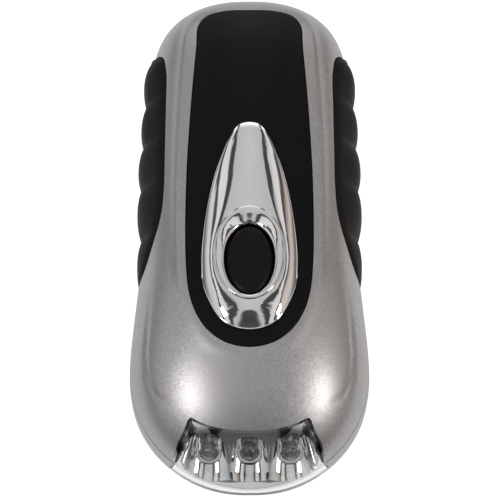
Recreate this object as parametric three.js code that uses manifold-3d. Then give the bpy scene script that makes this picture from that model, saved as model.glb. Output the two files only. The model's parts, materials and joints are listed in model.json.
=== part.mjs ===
// A hand crank flashlight: two silver shells, a black top panel with a chrome bezel and an oval
// push button, two rubber grips, three lamps behind a clear lens, and a crank under the body
// that turns a small generator through a train of gears.
// Millimetres, +Z up, the lamps look along -Y, and the two feet stand on z = 0.

import * as THREE from "three";
import { mergeVertices } from "three/addons/utils/BufferGeometryUtils.js";
import Module from "manifold-3d";

const wasm = await Module();
wasm.setup();

// Clearances that every fit uses
const seatGap = 0.3;
const runningGap = 0.4;
const cutOverrun = 1;

// Body: the closed form that both shells are cut from
const bodyLength = 136;
const widestHeight = 20.7;
const crownHeight = 22.9;
const bellyDepth = 21.8;
const noseHalfWidth = 30;
const waistHalfWidth = 28.1;
const tailHalfWidth = 26.2;
const noseInset = 31;
const waistForward = 7;
const tailInset = 26;
const crownForward = 10;
const noseRoundness = 2.1;
const tailRoundness = 2.8;
const crownNoseRoundness = 2.1;
const crownTailRoundness = 3.6;
const bellyRoundness = 3.2;
const bellyTailInset = 16;
const upperSectionRoundness = 2.4;
const lowerSectionRoundness = 3;
const noseUndercut = 2.4;
const noseUndercutDepth = 8;
const noseUndercutLength = 27;
const seamRise = 4.5;
const shellWall = 2.2;

// Top panel, a tongue let into the upper shell
const panelThickness = 1.3;
const panelHalfWidth = 15.6;
const panelFrontInset = 31;
const panelRearInset = 7.5;
const panelShares = [
  [0, 1], [0.42, 0.999], [0.72, 0.985], [0.85, 0.95], [0.87, 0.88], [0.94, 0.7], [1, 0.47],
  [0.99, 0.24], [0.93, 0.145], [0.82, 0.09], [0.64, 0.045], [0.36, 0.012], [0, 0],
];

// Chrome bezel, a teardrop ring round the push button
const bezelHalfWidth = 11.3;
const bezelTipReach = 37;
const bezelFrontReach = 18.2;
const bezelSink = 0.6;
const bezelRimRise = 0.5;
const bezelCrestRise = 2.2;
const bezelHoleRise = 0.1;
const bezelShares = [
  [0, 1], [0.2, 0.99], [0.36, 0.945], [0.53, 0.865], [0.77, 0.7], [0.92, 0.535], [1, 0.37],
  [1, 0.29], [0.965, 0.21], [0.83, 0.13], [0.6, 0.05], [0.32, 0.012], [0, 0],
];
const bezelDomeShares = [0, 0.12, 0.3, 0.55, 0.8, 1];
const crestHalfWidth = 9;
const crestHalfLength = 12.2;
const crestShift = 1.2;
const holeHalfWidth = 6.4;
const holeHalfLength = 9.2;
const buttonForward = 14.4;

// Push button and the switch under it
const buttonTravel = 1.5;
const buttonSideGap = 1.2;
const buttonDomeRise = 0.7;
const buttonEdgeDrop = 0.5;
const buttonFlangeWidth = 1.5;
const buttonFlangeThickness = 1.2;
const buttonFlangeGap = 0.7;
const buttonStemRadius = 2.2;
const switchBodySize = 8;
const switchBodyHeight = 3.2;
const plungerRadius = 1.6;
const plungerHeight = 1.9;

// Side grips
const gripDepth = 1.3;
const gripProud = 0.35;
const gripLobeProud = 0.9;
const gripLobePitch = 13.2;
const gripFirstValley = 3.3;
const gripSlant = 0.55;
const gripArcStart = -Math.PI / 3;
const gripArcEnd = Math.PI / 2;
const gripFrontInset = 53.2;
const gripRearInset = 17;
const gripDrop = 6.5;
const gripRise = 15.7;
const gripShares = [
  [0, 0.45], [0.02, 0.67], [0.053, 0.78], [0.134, 0.905], [0.224, 0.98], [0.34, 1], [0.483, 0.986],
  [0.696, 0.95], [0.878, 0.892], [0.955, 0.81], [1, 0.58], [0.985, 0.28], [0.92, 0.06], [0.8, 0],
  [0.5, 0], [0.22, 0.02], [0.07, 0.15],
];

// Lens, reflector and lamps
const lensThickness = 1.5;
const lensDrop = 2.5;
const lensShoulderRise = 9.5;
const lensRise = 14;
const lensBottomHalfWidth = 19.9;
const lensShoulderHalfWidth = 17.3;
const lensTopHalfWidth = 14.4;
const lensRearInset = 17.5;
const reflectorWall = 1.2;
const reflectorBackInset = 15.4;
const lampPitch = 9.8;
const lampRise = 6.3;
const lampRadius = 2.5;
const lampFlangeRadius = 2.9;
const lampFlangeThickness = 1;
const lampLength = 8.6;
const lampLeadSize = 0.5;
const lampLeadPitch = 2.54;
const lampLeadLength = 1.8;
const cupMouthRadius = 6.3;
const cupDepth = 8.5;
const lampBoardThickness = 1.2;
const lampBoardHalfWidth = 15;
const lampBoardHeight = 11;

// Crank: arch under the body, arm, hub and folding knob
const hubY = 6;
const archHeight = 11;
const rearFootLength = 13.5;
const armHubRadius = 10.5;
const armTipRadius = 7.5;
const armBottomZ = 1.2;
const armTopZ = 10;
const armEdge = 1;
const archSweepGap = 1;
const knobRadius = 4.1;
const knobLength = 15;
const knobWaist = 0.5;
const knobShoulderShare = 0.2;
const knobBoreRadius = 1.8;
const knobSlotGap = 0.4;
const knobPinRadius = 1.1;
const knobPinInset = 0.9;
const swivelRadius = 3.9;
const spindleRadius = 1.5;
const rivetHeadRadius = 2.7;
const rivetHeadHeight = 0.9;
const shaftRadius = 3;
const hubWellRadius = 6.4;
const hubWellDepth = 3.5;
const washerThickness = 0.6;
const hubScrewHeadRadius = 2.8;
const hubScrewHeadHeight = 1.2;
const hubScrewRadius = 1.3;
const hubScrewLength = 6;
const hubCapThickness = 0.8;
const bushWall = 0.9;
const bushFlangeWidth = 1.3;
const bushFlangeThickness = 0.7;

// Gear train: three steps up from the crank to the generator
const crankGearTeeth = 48;
const firstPinionTeeth = 12;
const firstGearTeeth = 40;
const secondPinionTeeth = 10;
const secondGearTeeth = 36;
const rotorPinionTeeth = 12;
const coarseModule = 0.6;
const fineModule = 0.5;
const tipHalfShare = 0.08;
const rootHalfShare = 0.3;
const addendumShare = 0.9;
const dedendumShare = 1.3;
const crankGearWidth = 2.4;
const crankGearWindowCount = 4;
const crankGearWindowRadius = 2.9;
const crankGearWindowReach = 8.6;
const fineGearWidth = 1.8;
const gearLevelGap = 0.4;
const axleRadius = 1;
const firstGearAngle = -66.3 * Math.PI / 180;
const secondGearAngle = -143.1 * Math.PI / 180;
const rotorAngle = -45 * Math.PI / 180;
const axleBossRadius = 2;

// Gear plate and its posts
const plateThickness = 1.4;
const plateFrontHalfWidth = 20;
const plateRearHalfWidth = 24.2;
const plateFrontForward = 37;
const plateRearY = 9;
const postRadius = 2.6;
const postSpread = 20.6;
const postRearY = 4;
const frontPostSpread = 15.5;
const frontPostForward = 31;
const plateScrewHeadRadius = 2.2;
const plateScrewHeadHeight = 1.1;
const plateScrewRadius = 1;
const plateScrewLength = 5;

// Generator
const canRadius = 10.4;
const canWall = 0.7;
const coilInnerRadius = 6.6;
const coilEndGap = 0.95;
const magnetRadius = 5.4;
const magnetEndGap = 0.85;
const rotorShaftRadius = 0.9;

// Circuit board and its parts
const boardThickness = 1.2;
const boardHalfWidth = 13;
const boardDrop = 12.7;
const boardFrontForward = 34;
const boardRearY = 21;
const boardClearance = 0.6;
const boardPostRadius = 2.4;
const boardPostX = 9.6;
const boardPostY = 15;
const boardScrewHeadRadius = 2;
const boardScrewHeadHeight = 1;
const boardScrewRadius = 0.9;
const boardScrewLength = 5;
const capacitorRadius = 2.5;
const capacitorHeight = 4.5;
const capacitorX = 7;
const capacitorForward = 27;
const rectifierLength = 6.5;
const rectifierWidth = 4.6;
const rectifierHeight = 2.2;
const rectifierLeft = 5;
const rectifierY = 3;

// Rechargeable cells and their holder
const cellRadius = 7.75;
const cellHeight = 5.4;
const cellCount = 3;
const cellY = 39;
const holderWall = 1.2;
const holderFloor = 0.8;
const holderHeight = 13.5;
const cellStripWidth = 4;
const cellStripThickness = 0.5;

// Case screws and their bosses
const caseScrewHeadRadius = 2.2;
const caseScrewHeadHeight = 1.6;
const caseScrewRadius = 1.2;
const caseScrewLength = 28;
const caseScrewWellDepth = 4.6;
const caseBossRadius = 3.3;
const frontScrewSpread = 13;
const frontScrewInset = 21.9;
const rearScrewSpread = 11;
const rearScrewInset = 10;

// Slots of all screws, as a share of the head
const screwSlotShare = 0.16;

// Leads inside the body
const leadRadius = 0.6;
const leadSides = 8;
const leadSteps = 8;
const leadOverlook = 2.2;
const lampLeadX = 2.5;
const cellLeadX = 3.6;
const generatorLeadSpread = 3.4;

// Points nearer to each other than this are one point
const mergeDistance = 1e-4;

// Round shapes are cut into this many flats
const fineSides = 24;
const coarseSides = 12;
const pinSides = 8;
const cupSteps = 6;
const lampDomeSteps = 4;
const armCornerSteps = 8;
const bodyStations = 26;
const bodySides = 28;
const cavityStations = 14;
const cavitySides = 16;
const panelSides = 52;
const bezelSides = 36;
const gripOutlineSides = 30;
const gripStations = 40;
const gripArcSteps = 8;

// Places that follow from the sizes above
const halfLength = bodyLength / 2;
const noseWidestY = noseInset - halfLength;
const waistY = -waistForward;
const tailY = halfLength - tailInset;
const seamHeight = widestHeight + seamRise;
const noseUndercutY = noseUndercutLength - halfLength;
const bellyTailY = halfLength - bellyTailInset;
const crownY = -crownForward;
const panelFrontY = panelFrontInset - halfLength;
const panelRearY = halfLength - panelRearInset;
const buttonY = -buttonForward;
const crestY = buttonY + crestShift;
const bezelTipY = buttonY + bezelTipReach;
const bezelFrontY = buttonY - bezelFrontReach;
const gripFrontY = gripFrontInset - halfLength;
const gripRearY = halfLength - gripRearInset;
const gripFirstValleyY = gripFrontY + gripFirstValley;
const gripBottomZ = widestHeight - gripDrop;
const gripTopZ = widestHeight + gripRise;
const lensBottomZ = widestHeight - lensDrop;
const lensShoulderZ = widestHeight + lensShoulderRise;
const lensTopZ = widestHeight + lensRise;
const lampHeight = widestHeight + lampRise;
const lensRearY = lensRearInset - halfLength;
const reflectorBackY = reflectorBackInset - halfLength;
const frontScrewY = frontScrewInset - halfLength;
const rearScrewY = halfLength - rearScrewInset;
const floorTopZ = archHeight + shellWall;
const bushFlangeTopZ = floorTopZ + bushFlangeThickness;
const crankGearZ = bushFlangeTopZ + seatGap;
const firstGearZ = crankGearZ + crankGearWidth + gearLevelGap;
const secondGearZ = firstGearZ + fineGearWidth + gearLevelGap;
const plateZ = secondGearZ + fineGearWidth + gearLevelGap;
const plateTopZ = plateZ + plateThickness;
const canZ = plateTopZ + seatGap;
const boardZ = widestHeight + crownHeight - boardDrop;
const canHeight = boardZ - boardClearance - canZ;
const coilHeight = canHeight - canWall - 2 * coilEndGap;
const magnetHeight = canHeight - canWall - 2 * magnetEndGap;
const boardTopZ = boardZ + boardThickness;
const switchTopZ = boardTopZ + seatGap + switchBodyHeight;
const plungerTopZ = switchTopZ + plungerHeight;
const archReach = halfLength - rearFootLength - hubY;
const armReach = archReach - archSweepGap - armTipRadius;
const knobAxisZ = (armBottomZ + armTopZ) / 2;
const knobStart = swivelRadius + seatGap;
const knobEnd = knobStart + knobLength;
const shaftBottomZ = armBottomZ + hubWellDepth;
const cellBottomZ = floorTopZ + seatGap + holderFloor + seatGap;

const hubPlace = new THREE.Vector2(0, hubY);
const firstReach = coarseModule * (crankGearTeeth + firstPinionTeeth) / 2;
const secondReach = fineModule * (firstGearTeeth + secondPinionTeeth) / 2;
const rotorReach = fineModule * (secondGearTeeth + rotorPinionTeeth) / 2;
const firstPlace = stepFrom(hubPlace, firstGearAngle, firstReach);
const secondPlace = stepFrom(firstPlace, secondGearAngle, secondReach);
const rotorPlace = stepFrom(secondPlace, rotorAngle, rotorReach);

function stepFrom(place, angle, distance) {
  return new THREE.Vector2(place.x + distance * Math.cos(angle), place.y + distance * Math.sin(angle));
}

function mix(a, b, share) {
  return a + (b - a) * Math.min(Math.max(share, 0), 1);
}

function smooth(share) {
  const t = Math.min(Math.max(share, 0), 1);
  return t * t * (3 - 2 * t);
}

function capShare(share, roundness) {
  const t = Math.min(Math.max(share, 0), 1);
  return (1 - t ** roundness) ** (1 / roundness);
}

function signedPower(value, power) {
  return Math.sign(value) * Math.abs(value) ** power;
}

// Body form: half width, crown above its widest line and belly below it at a place along Y.
// A positive grow swells the form, and a negative one gives the inside of a wall.
function bodyHalfWidth(y, grow) {
  const end = halfLength + grow;
  const straight = mix(waistHalfWidth, tailHalfWidth, (y - waistY) / (tailY - waistY));
  const half = mix(noseHalfWidth, straight, smooth((y - noseWidestY) / (waistY - noseWidestY))) + grow;
  const nose = capShare((noseWidestY - y) / (end + noseWidestY), noseRoundness);
  const tail = capShare((y - tailY) / (end - tailY), tailRoundness);
  return half * nose * tail;
}

function bodyCrown(y, grow) {
  const end = halfLength + grow;
  const nose = capShare((crownY - y) / (end + crownY), crownNoseRoundness);
  const tail = capShare((y - crownY) / (end - crownY), crownTailRoundness);
  return (crownHeight + grow) * nose * tail;
}

function bodyBelly(y, grow) {
  const end = halfLength + grow;
  const nose = capShare((noseWidestY - y) / (end + noseWidestY), bellyRoundness);
  const tail = capShare((y - bellyTailY) / (end - bellyTailY), bellyRoundness);
  return (bellyDepth + grow) * nose * tail;
}

function bodyTopZ(x, y, grow) {
  const share = Math.abs(x) / bodyHalfWidth(y, grow);
  return widestHeight + bodyCrown(y, grow) * capShare(share, upperSectionRoundness);
}

// How far the nose draws back below the widest line
function undercut(y, rise) {
  const depth = Math.min(Math.max(-rise / noseUndercutDepth, 0), 1);
  return noseUndercut * Math.sin(depth * Math.PI / 2) * smooth((noseUndercutY - y) / noseUndercutLength);
}

function bodySectionPoint(y, angle, grow) {
  const sine = Math.sin(angle);
  const roundness = sine > 0 ? upperSectionRoundness : lowerSectionRoundness;
  const height = sine > 0 ? bodyCrown(y, grow) : bodyBelly(y, grow);
  const rise = height * signedPower(sine, 2 / roundness);
  return new THREE.Vector3(
    bodyHalfWidth(y, grow) * signedPower(Math.cos(angle), 2 / roundness),
    y + undercut(y, rise),
    widestHeight + rise,
  );
}

// Joins loops of points, each with the same number of points, into one closed skin.
// Each end is closed by a fan to a point, or the last loop is joined to the first.
function skinGeometry(loops, { startPoint = null, endPoint = null } = {}) {
  const count = loops[0].length;
  const ring = startPoint === null;
  const points = loops.flat();
  const triangles = [];
  const rows = ring ? loops.length : loops.length - 1;
  for (let row = 0; row < rows; row += 1) {
    const here = row * count;
    const next = ((row + 1) % loops.length) * count;
    for (let k = 0; k < count; k += 1) {
      const after = (k + 1) % count;
      triangles.push(here + k, here + after, next + after);
      triangles.push(here + k, next + after, next + k);
    }
  }
  if (!ring) {
    const last = (loops.length - 1) * count;
    const startIndex = points.push(startPoint) - 1;
    const endIndex = points.push(endPoint) - 1;
    for (let k = 0; k < count; k += 1) {
      const after = (k + 1) % count;
      triangles.push(startIndex, after, k);
      triangles.push(endIndex, last + k, last + after);
    }
  }
  if (skinVolume(points, triangles) < 0) {
    triangles.reverse();
  }
  const geometry = new THREE.BufferGeometry().setFromPoints(points);
  geometry.setIndex(triangles);
  return geometry;
}

// Six times the volume that the triangles close in, negative when they face inwards
function skinVolume(points, triangles) {
  let volume = 0;
  for (let i = 0; i < triangles.length; i += 3) {
    const [a, b, c] = triangles.slice(i, i + 3).map((index) => points[index]);
    volume += a.dot(b.clone().cross(c));
  }
  return volume;
}

// Booleans
function toSolid(geometry) {
  const plain = geometry.clone();
  plain.deleteAttribute("normal");
  plain.deleteAttribute("uv");
  const merged = mergeVertices(plain, mergeDistance);
  return new wasm.Manifold(new wasm.Mesh({
    numProp: 3,
    vertProperties: new Float32Array(merged.attributes.position.array),
    triVerts: new Uint32Array(merged.index.array),
  }));
}

function toGeometry(solid) {
  const mesh = solid.getMesh();
  const positions = new Float32Array(mesh.numVert * 3);
  for (let i = 0; i < mesh.numVert; i += 1) {
    for (let k = 0; k < 3; k += 1) {
      positions[3 * i + k] = mesh.vertProperties[mesh.numProp * i + k];
    }
  }
  const geometry = new THREE.BufferGeometry();
  geometry.setAttribute("position", new THREE.BufferAttribute(positions, 3));
  geometry.setIndex(new THREE.BufferAttribute(new Uint32Array(mesh.triVerts), 1));
  geometry.computeVertexNormals();
  return geometry;
}

function cut(solid, ...tools) {
  return tools.reduce((rest, tool) => rest.subtract(tool), solid);
}

function join(...solids) {
  return solids.reduce((whole, part) => whole.add(part));
}

// Simple solids
function boxSolid(x0, x1, y0, y1, z0, z1) {
  const geometry = new THREE.BoxGeometry(x1 - x0, y1 - y0, z1 - z0);
  geometry.translate((x0 + x1) / 2, (y0 + y1) / 2, (z0 + z1) / 2);
  return toSolid(geometry);
}

function rodSolid(x, y, radius, z0, z1, sides = coarseSides) {
  const geometry = new THREE.CylinderGeometry(radius, radius, z1 - z0, sides);
  geometry.rotateX(Math.PI / 2);
  geometry.translate(x, y, (z0 + z1) / 2);
  return toSolid(geometry);
}

function ringSolid(x, y, innerRadius, outerRadius, z0, z1, sides = coarseSides) {
  const bore = rodSolid(x, y, innerRadius, z0 - cutOverrun, z1 + cutOverrun, sides);
  return rodSolid(x, y, outerRadius, z0, z1, sides).subtract(bore);
}

function planSolid(shape, z0, z1) {
  const geometry = new THREE.ExtrudeGeometry(shape, { depth: z1 - z0, bevelEnabled: false });
  geometry.translate(0, 0, z0);
  return toSolid(geometry);
}

function sideSolid(shape, x0, x1) {
  const geometry = new THREE.ExtrudeGeometry(shape, { depth: x1 - x0, bevelEnabled: false });
  geometry.applyMatrix4(new THREE.Matrix4().makeBasis(
    new THREE.Vector3(0, 1, 0),
    new THREE.Vector3(0, 0, 1),
    new THREE.Vector3(1, 0, 0),
  ));
  geometry.translate(x0, 0, 0);
  return toSolid(geometry);
}

function frontSolid(shape, rearY, frontY) {
  const geometry = new THREE.ExtrudeGeometry(shape, { depth: rearY - frontY, bevelEnabled: false });
  geometry.rotateX(Math.PI / 2);
  geometry.translate(0, rearY, 0);
  return toSolid(geometry);
}

function bodyGeometry(grow, stations, sides) {
  const end = halfLength + grow;
  const loops = [];
  for (let i = 1; i < stations; i += 1) {
    const y = -end * Math.cos(Math.PI * i / stations);
    const loop = [];
    for (let k = 0; k < sides; k += 1) {
      loop.push(bodySectionPoint(y, -2 * Math.PI * k / sides, grow));
    }
    loops.push(loop);
  }
  return skinGeometry(loops, {
    startPoint: new THREE.Vector3(0, -end, widestHeight),
    endPoint: new THREE.Vector3(0, end, widestHeight),
  });
}

const solidBody = toSolid(bodyGeometry(0, bodyStations, bodySides));

function bodyInside(depth) {
  return toSolid(bodyGeometry(-depth, cavityStations, cavitySides));
}

function everythingAbove(z) {
  const reach = bodyLength;
  return boxSolid(-reach, reach, -reach, reach, z, z + reach);
}

function everythingBelow(z) {
  const reach = bodyLength;
  return boxSolid(-reach, reach, -reach, reach, z - reach, z);
}

// Outlines
function smoothOutline(points, count, closed) {
  return new THREE.CatmullRomCurve3(points, closed, "centripetal").getSpacedPoints(count);
}

function mirroredOutline(shares, halfWidth, frontY, rearY, count) {
  const right = shares.map(([x, y]) => new THREE.Vector3(x * halfWidth, frontY + y * (rearY - frontY), 0));
  const left = right.slice(1, -1).reverse().map((point) => new THREE.Vector3(-point.x, point.y, 0));
  return smoothOutline([...right, ...left], count, true).slice(0, count);
}

// Moves each point of a closed outline outwards, square to it.
function growOutline(points, grow) {
  const count = points.length;
  const clockwise = THREE.ShapeUtils.area(points) < 0 ? 1 : -1;
  return points.map((point, k) => {
    const before = points[(k + count - 1) % count];
    const after = points[(k + 1) % count];
    const run = Math.hypot(after.x - before.x, after.y - before.y);
    return new THREE.Vector3(
      point.x - clockwise * grow * (after.y - before.y) / run,
      point.y + clockwise * grow * (after.x - before.x) / run,
      0,
    );
  });
}

function toShape(points) {
  return new THREE.Shape(points.map((point) => new THREE.Vector2(point.x, point.y)));
}

function ellipseOutline(halfWidth, halfLengthY, centreY, count) {
  const points = [];
  for (let k = 0; k < count; k += 1) {
    const angle = 2 * Math.PI * k / count;
    points.push(new THREE.Vector3(halfWidth * Math.cos(angle), centreY + halfLengthY * Math.sin(angle), 0));
  }
  return points;
}

const panelPoints = mirroredOutline(panelShares, panelHalfWidth, panelFrontY, panelRearY, panelSides);
const bezelPoints = mirroredOutline(bezelShares, bezelHalfWidth, bezelFrontY, bezelTipY, bezelSides);

function gripOutline() {
  const points = gripShares.map(([y, z]) => new THREE.Vector3(
    gripFrontY + y * (gripRearY - gripFrontY),
    gripBottomZ + z * (gripTopZ - gripBottomZ),
    0,
  ));
  return smoothOutline(points, gripOutlineSides, true).slice(0, gripOutlineSides);
}

function lensShape(grow) {
  const right = [
    new THREE.Vector2(lensBottomHalfWidth, lensBottomZ),
    new THREE.Vector2(lensShoulderHalfWidth, lensShoulderZ),
    new THREE.Vector2(lensTopHalfWidth, lensTopZ),
  ];
  const left = right.map((corner) => new THREE.Vector2(-corner.x, corner.y)).reverse();
  const corners = [...right, ...left];
  const outward = (from, to) => new THREE.Vector2(to.y - from.y, from.x - to.x).normalize();
  return new THREE.Shape(corners.map((corner, i) => {
    const before = outward(corners[(i + corners.length - 1) % corners.length], corner);
    const after = outward(corner, corners[(i + 1) % corners.length]);
    return corner.clone().addScaledVector(before.clone().add(after), grow / (1 + before.dot(after)));
  }));
}

// Shared cuts
const panelRecess = cut(
  planSolid(toShape(growOutline(panelPoints, seatGap)), widestHeight + cutOverrun, bodyLength),
  bodyInside(panelThickness + seatGap),
);
const buttonPassage = planSolid(
  toShape(ellipseOutline(holeHalfWidth, holeHalfLength, buttonY, coarseSides)),
  boardTopZ,
  bodyLength,
);

function gripSide(side, grow) {
  const near = tailHalfWidth / 2;
  const far = noseHalfWidth + gripLobeProud + cutOverrun;
  const shape = toShape(growOutline(gripOutline(), grow));
  return side > 0 ? sideSolid(shape, near, far) : sideSolid(shape, -far, -near);
}

function gripRecess(side) {
  return cut(gripSide(side, seatGap), bodyInside(gripDepth + seatGap));
}

const lensOpening = frontSolid(lensShape(seatGap), lensRearY, -halfLength - cutOverrun);

function screwPlaces() {
  return [
    { name: "case_screw_front_left", x: -frontScrewSpread, y: frontScrewY },
    { name: "case_screw_front_right", x: frontScrewSpread, y: frontScrewY },
    { name: "case_screw_rear_left", x: -rearScrewSpread, y: rearScrewY },
    { name: "case_screw_rear_right", x: rearScrewSpread, y: rearScrewY },
  ];
}

const postPlaces = {
  left: [-postSpread, postRearY],
  right: [postSpread, postRearY],
  front: [-frontPostSpread, -frontPostForward],
};

const caseScrewHeadZ = caseScrewWellDepth - caseScrewHeadHeight - seatGap;

// Upper shell: the crown of the body, with recesses for what is let into it
function upperShell() {
  const bossBottomZ = seamHeight + seatGap / 2;
  const bosses = screwPlaces().map(({ x, y }) => rodSolid(x, y, caseBossRadius, bossBottomZ, bodyLength));
  const boardPosts = [-1, 1].map((side) => rodSolid(
    side * boardPostX,
    boardPostY,
    boardPostRadius,
    boardTopZ + seatGap,
    bodyLength,
  ));
  const inside = bodyInside(shellWall - seatGap);
  const posts = join(...bosses, ...boardPosts).intersect(inside);
  const skin = cut(solidBody, bodyInside(shellWall)).intersect(everythingAbove(bossBottomZ));
  const screwHoles = screwPlaces().map(({ x, y }) => rodSolid(
    x,
    y,
    caseScrewRadius + seatGap,
    0,
    caseScrewHeadZ + caseScrewHeadHeight + caseScrewLength + seatGap,
  ));
  const boardHoles = [-1, 1].map((side) => rodSolid(
    side * boardPostX,
    boardPostY,
    boardScrewRadius + seatGap,
    boardZ,
    boardZ + boardScrewLength + seatGap,
  ));
  return cut(
    join(skin, posts),
    panelRecess,
    buttonPassage,
    gripRecess(-1),
    gripRecess(1),
    lensOpening,
    ...screwHoles,
    ...boardHoles,
  );
}

// Lower shell: the belly of the body, with an arch that the crank turns in
function lowerShell() {
  const archBox = (wall) => boxSolid(
    -bodyLength,
    bodyLength,
    hubY - archReach - wall,
    hubY + archReach + wall,
    -cutOverrun,
    archHeight + wall,
  );
  const arch = archBox(0);
  const archRoof = archBox(shellWall);
  const wellFloor = caseScrewWellDepth + shellWall;
  const bosses = screwPlaces().map(({ x, y }) => join(
    rodSolid(x, y, caseBossRadius, 0, seamHeight),
    rodSolid(x, y, caseScrewHeadRadius + seatGap + shellWall / 2, 0, wellFloor),
  ));
  const cavity = cut(bodyInside(shellWall).intersect(everythingAbove(shellWall)), archRoof, ...bosses);
  const shell = cut(solidBody, arch, cavity)
    .intersect(everythingBelow(seamHeight - seatGap / 2))
    .intersect(everythingAbove(0));
  const posts = Object.values(postPlaces).map(([x, y]) => (
    rodSolid(x, y, postRadius, archHeight + shellWall / 2, plateZ - seatGap)
  ));
  const firstBoss = rodSolid(
    firstPlace.x, firstPlace.y, axleBossRadius, archHeight + shellWall / 2, crankGearZ - seatGap,
  );
  const secondBoss = rodSolid(
    secondPlace.x, secondPlace.y, axleBossRadius, archHeight + shellWall / 2, firstGearZ - seatGap,
  );
  const screwHoles = screwPlaces().flatMap(({ x, y }) => [
    rodSolid(x, y, caseScrewRadius + seatGap, -cutOverrun, seamHeight + cutOverrun),
    rodSolid(x, y, caseScrewHeadRadius + seatGap, -cutOverrun, caseScrewWellDepth),
  ]);
  const postHoles = Object.values(postPlaces).map(([x, y]) => rodSolid(
    x,
    y,
    plateScrewRadius + seatGap,
    plateTopZ - plateScrewLength - seatGap,
    plateTopZ + cutOverrun,
  ));
  const axleHoles = [firstPlace, secondPlace].map((place) => rodSolid(
    place.x,
    place.y,
    axleRadius + seatGap,
    archHeight + shellWall / 2,
    plateTopZ,
  ));
  const bushHole = rodSolid(0, hubY, shaftRadius + seatGap + bushWall + seatGap, 0, floorTopZ + cutOverrun);
  return cut(
    join(shell, ...posts, firstBoss, secondBoss),
    gripRecess(-1),
    gripRecess(1),
    lensOpening,
    bushHole,
    ...screwHoles,
    ...postHoles,
    ...axleHoles,
  );
}

// Top panel: the outer skin of the body inside the tongue outline
function topPanel() {
  const tongue = planSolid(toShape(panelPoints), widestHeight + cutOverrun, bodyLength);
  const bezelSeat = cut(
    planSolid(toShape(growOutline(bezelPoints, seatGap)), widestHeight, bodyLength),
    bodyInside(bezelSink + seatGap),
  );
  return cut(solidBody.intersect(tongue), bodyInside(panelThickness), bezelSeat, buttonPassage);
}

// Bezel: loops run from the outer edge up to the crest, down the funnel and back underneath
function bezelGeometry() {
  const count = bezelPoints.length;
  const toEllipse = (point, halfWidth, halfLengthY, centreY) => {
    const angle = Math.atan2((point.y - buttonY) / halfLengthY, point.x / halfWidth);
    return new THREE.Vector3(halfWidth * Math.cos(angle), centreY + halfLengthY * Math.sin(angle), 0);
  };
  const crest = bezelPoints.map((point) => toEllipse(point, crestHalfWidth, crestHalfLength, crestY));
  const hole = bezelPoints.map((point) => toEllipse(point, holeHalfWidth, holeHalfLength, buttonY));
  const lay = (from, to, share, rise) => Array.from({ length: count }, (_, k) => {
    const x = mix(from[k].x, to[k].x, share);
    const y = mix(from[k].y, to[k].y, share);
    return new THREE.Vector3(x, y, bodyTopZ(x, y, 0) + rise);
  });
  const dome = bezelDomeShares.map((share) => lay(
    bezelPoints,
    crest,
    share,
    mix(bezelRimRise, bezelCrestRise, Math.sin(share * Math.PI / 2)),
  ));
  return skinGeometry([
    lay(bezelPoints, hole, 0, -bezelSink),
    ...dome,
    lay(crest, hole, 1, bezelHoleRise),
    lay(crest, hole, 1, -bezelSink),
  ]);
}

// Button: an oval dome with a flange that the shell holds down and a stem that meets the plunger
function buttonSolid() {
  const halfWidth = holeHalfWidth - buttonSideGap;
  const halfLengthY = holeHalfLength - buttonSideGap;
  const crownZ = bodyTopZ(0, buttonY, 0);
  const flangeGrow = buttonSideGap + buttonFlangeWidth;
  const flangeEdge = ellipseOutline(halfWidth + flangeGrow, halfLengthY + flangeGrow, buttonY, fineSides);
  const ceiling = Math.min(...flangeEdge.map((point) => bodyTopZ(point.x, point.y, -shellWall)));
  const flangeTopZ = ceiling - buttonFlangeGap;
  const flangeBottomZ = flangeTopZ - buttonFlangeThickness;
  const ring = (grow, z) => ellipseOutline(halfWidth + grow, halfLengthY + grow, buttonY, fineSides)
    .map((point) => new THREE.Vector3(point.x, point.y, z));
  const edgeZ = crownZ + buttonDomeRise - buttonEdgeDrop;
  const stemZ = plungerTopZ + seatGap;
  const stemRing = ellipseOutline(buttonStemRadius, buttonStemRadius, buttonY, fineSides)
    .map((point) => new THREE.Vector3(point.x, point.y, 0));
  const loops = [
    stemRing.map((point) => new THREE.Vector3(point.x, point.y, stemZ)),
    stemRing.map((point) => new THREE.Vector3(point.x, point.y, flangeBottomZ)),
    ring(flangeGrow, flangeBottomZ),
    ring(flangeGrow, flangeTopZ),
    ring(0, flangeTopZ),
    ring(0, edgeZ - buttonEdgeDrop),
    ring(-buttonEdgeDrop, edgeZ),
    ring(-halfWidth / 2, crownZ + buttonDomeRise),
  ];
  return skinGeometry(loops, {
    startPoint: new THREE.Vector3(0, buttonY, stemZ),
    endPoint: new THREE.Vector3(0, buttonY, crownZ + buttonDomeRise + buttonEdgeDrop / 2),
  });
}

// Grip: the skin inside the side outline, swollen into slanted lobes
function lobeRise(y, z) {
  const along = (y - gripFirstValleyY - gripSlant * (z - widestHeight)) / gripLobePitch;
  return gripProud + gripLobeProud * Math.abs(Math.sin(Math.PI * along));
}

function lobedBody() {
  const loops = [];
  const angles = [];
  const startY = gripFrontY - gripLobePitch;
  const endY = gripRearY + gripLobePitch / 2;
  for (let k = 0; k <= gripArcSteps; k += 1) {
    angles.push(mix(gripArcStart, gripArcEnd, k / gripArcSteps));
  }
  for (let i = 0; i <= gripStations; i += 1) {
    const y = mix(startY, endY, i / gripStations);
    const outer = angles.map((angle) => {
      const point = bodySectionPoint(y, angle, 0);
      const raised = bodySectionPoint(y, angle, lobeRise(y, point.z));
      return new THREE.Vector3(raised.x, y, raised.z);
    });
    outer.push(new THREE.Vector3(0, y, outer[gripArcSteps].z), new THREE.Vector3(0, y, outer[0].z));
    loops.push(outer.reverse());
  }
  const middle = (loop, y) => new THREE.Vector3(tailHalfWidth / 2, y, widestHeight);
  return skinGeometry(loops, {
    startPoint: middle(loops[0], startY),
    endPoint: middle(loops[gripStations], endY),
  });
}

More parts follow.
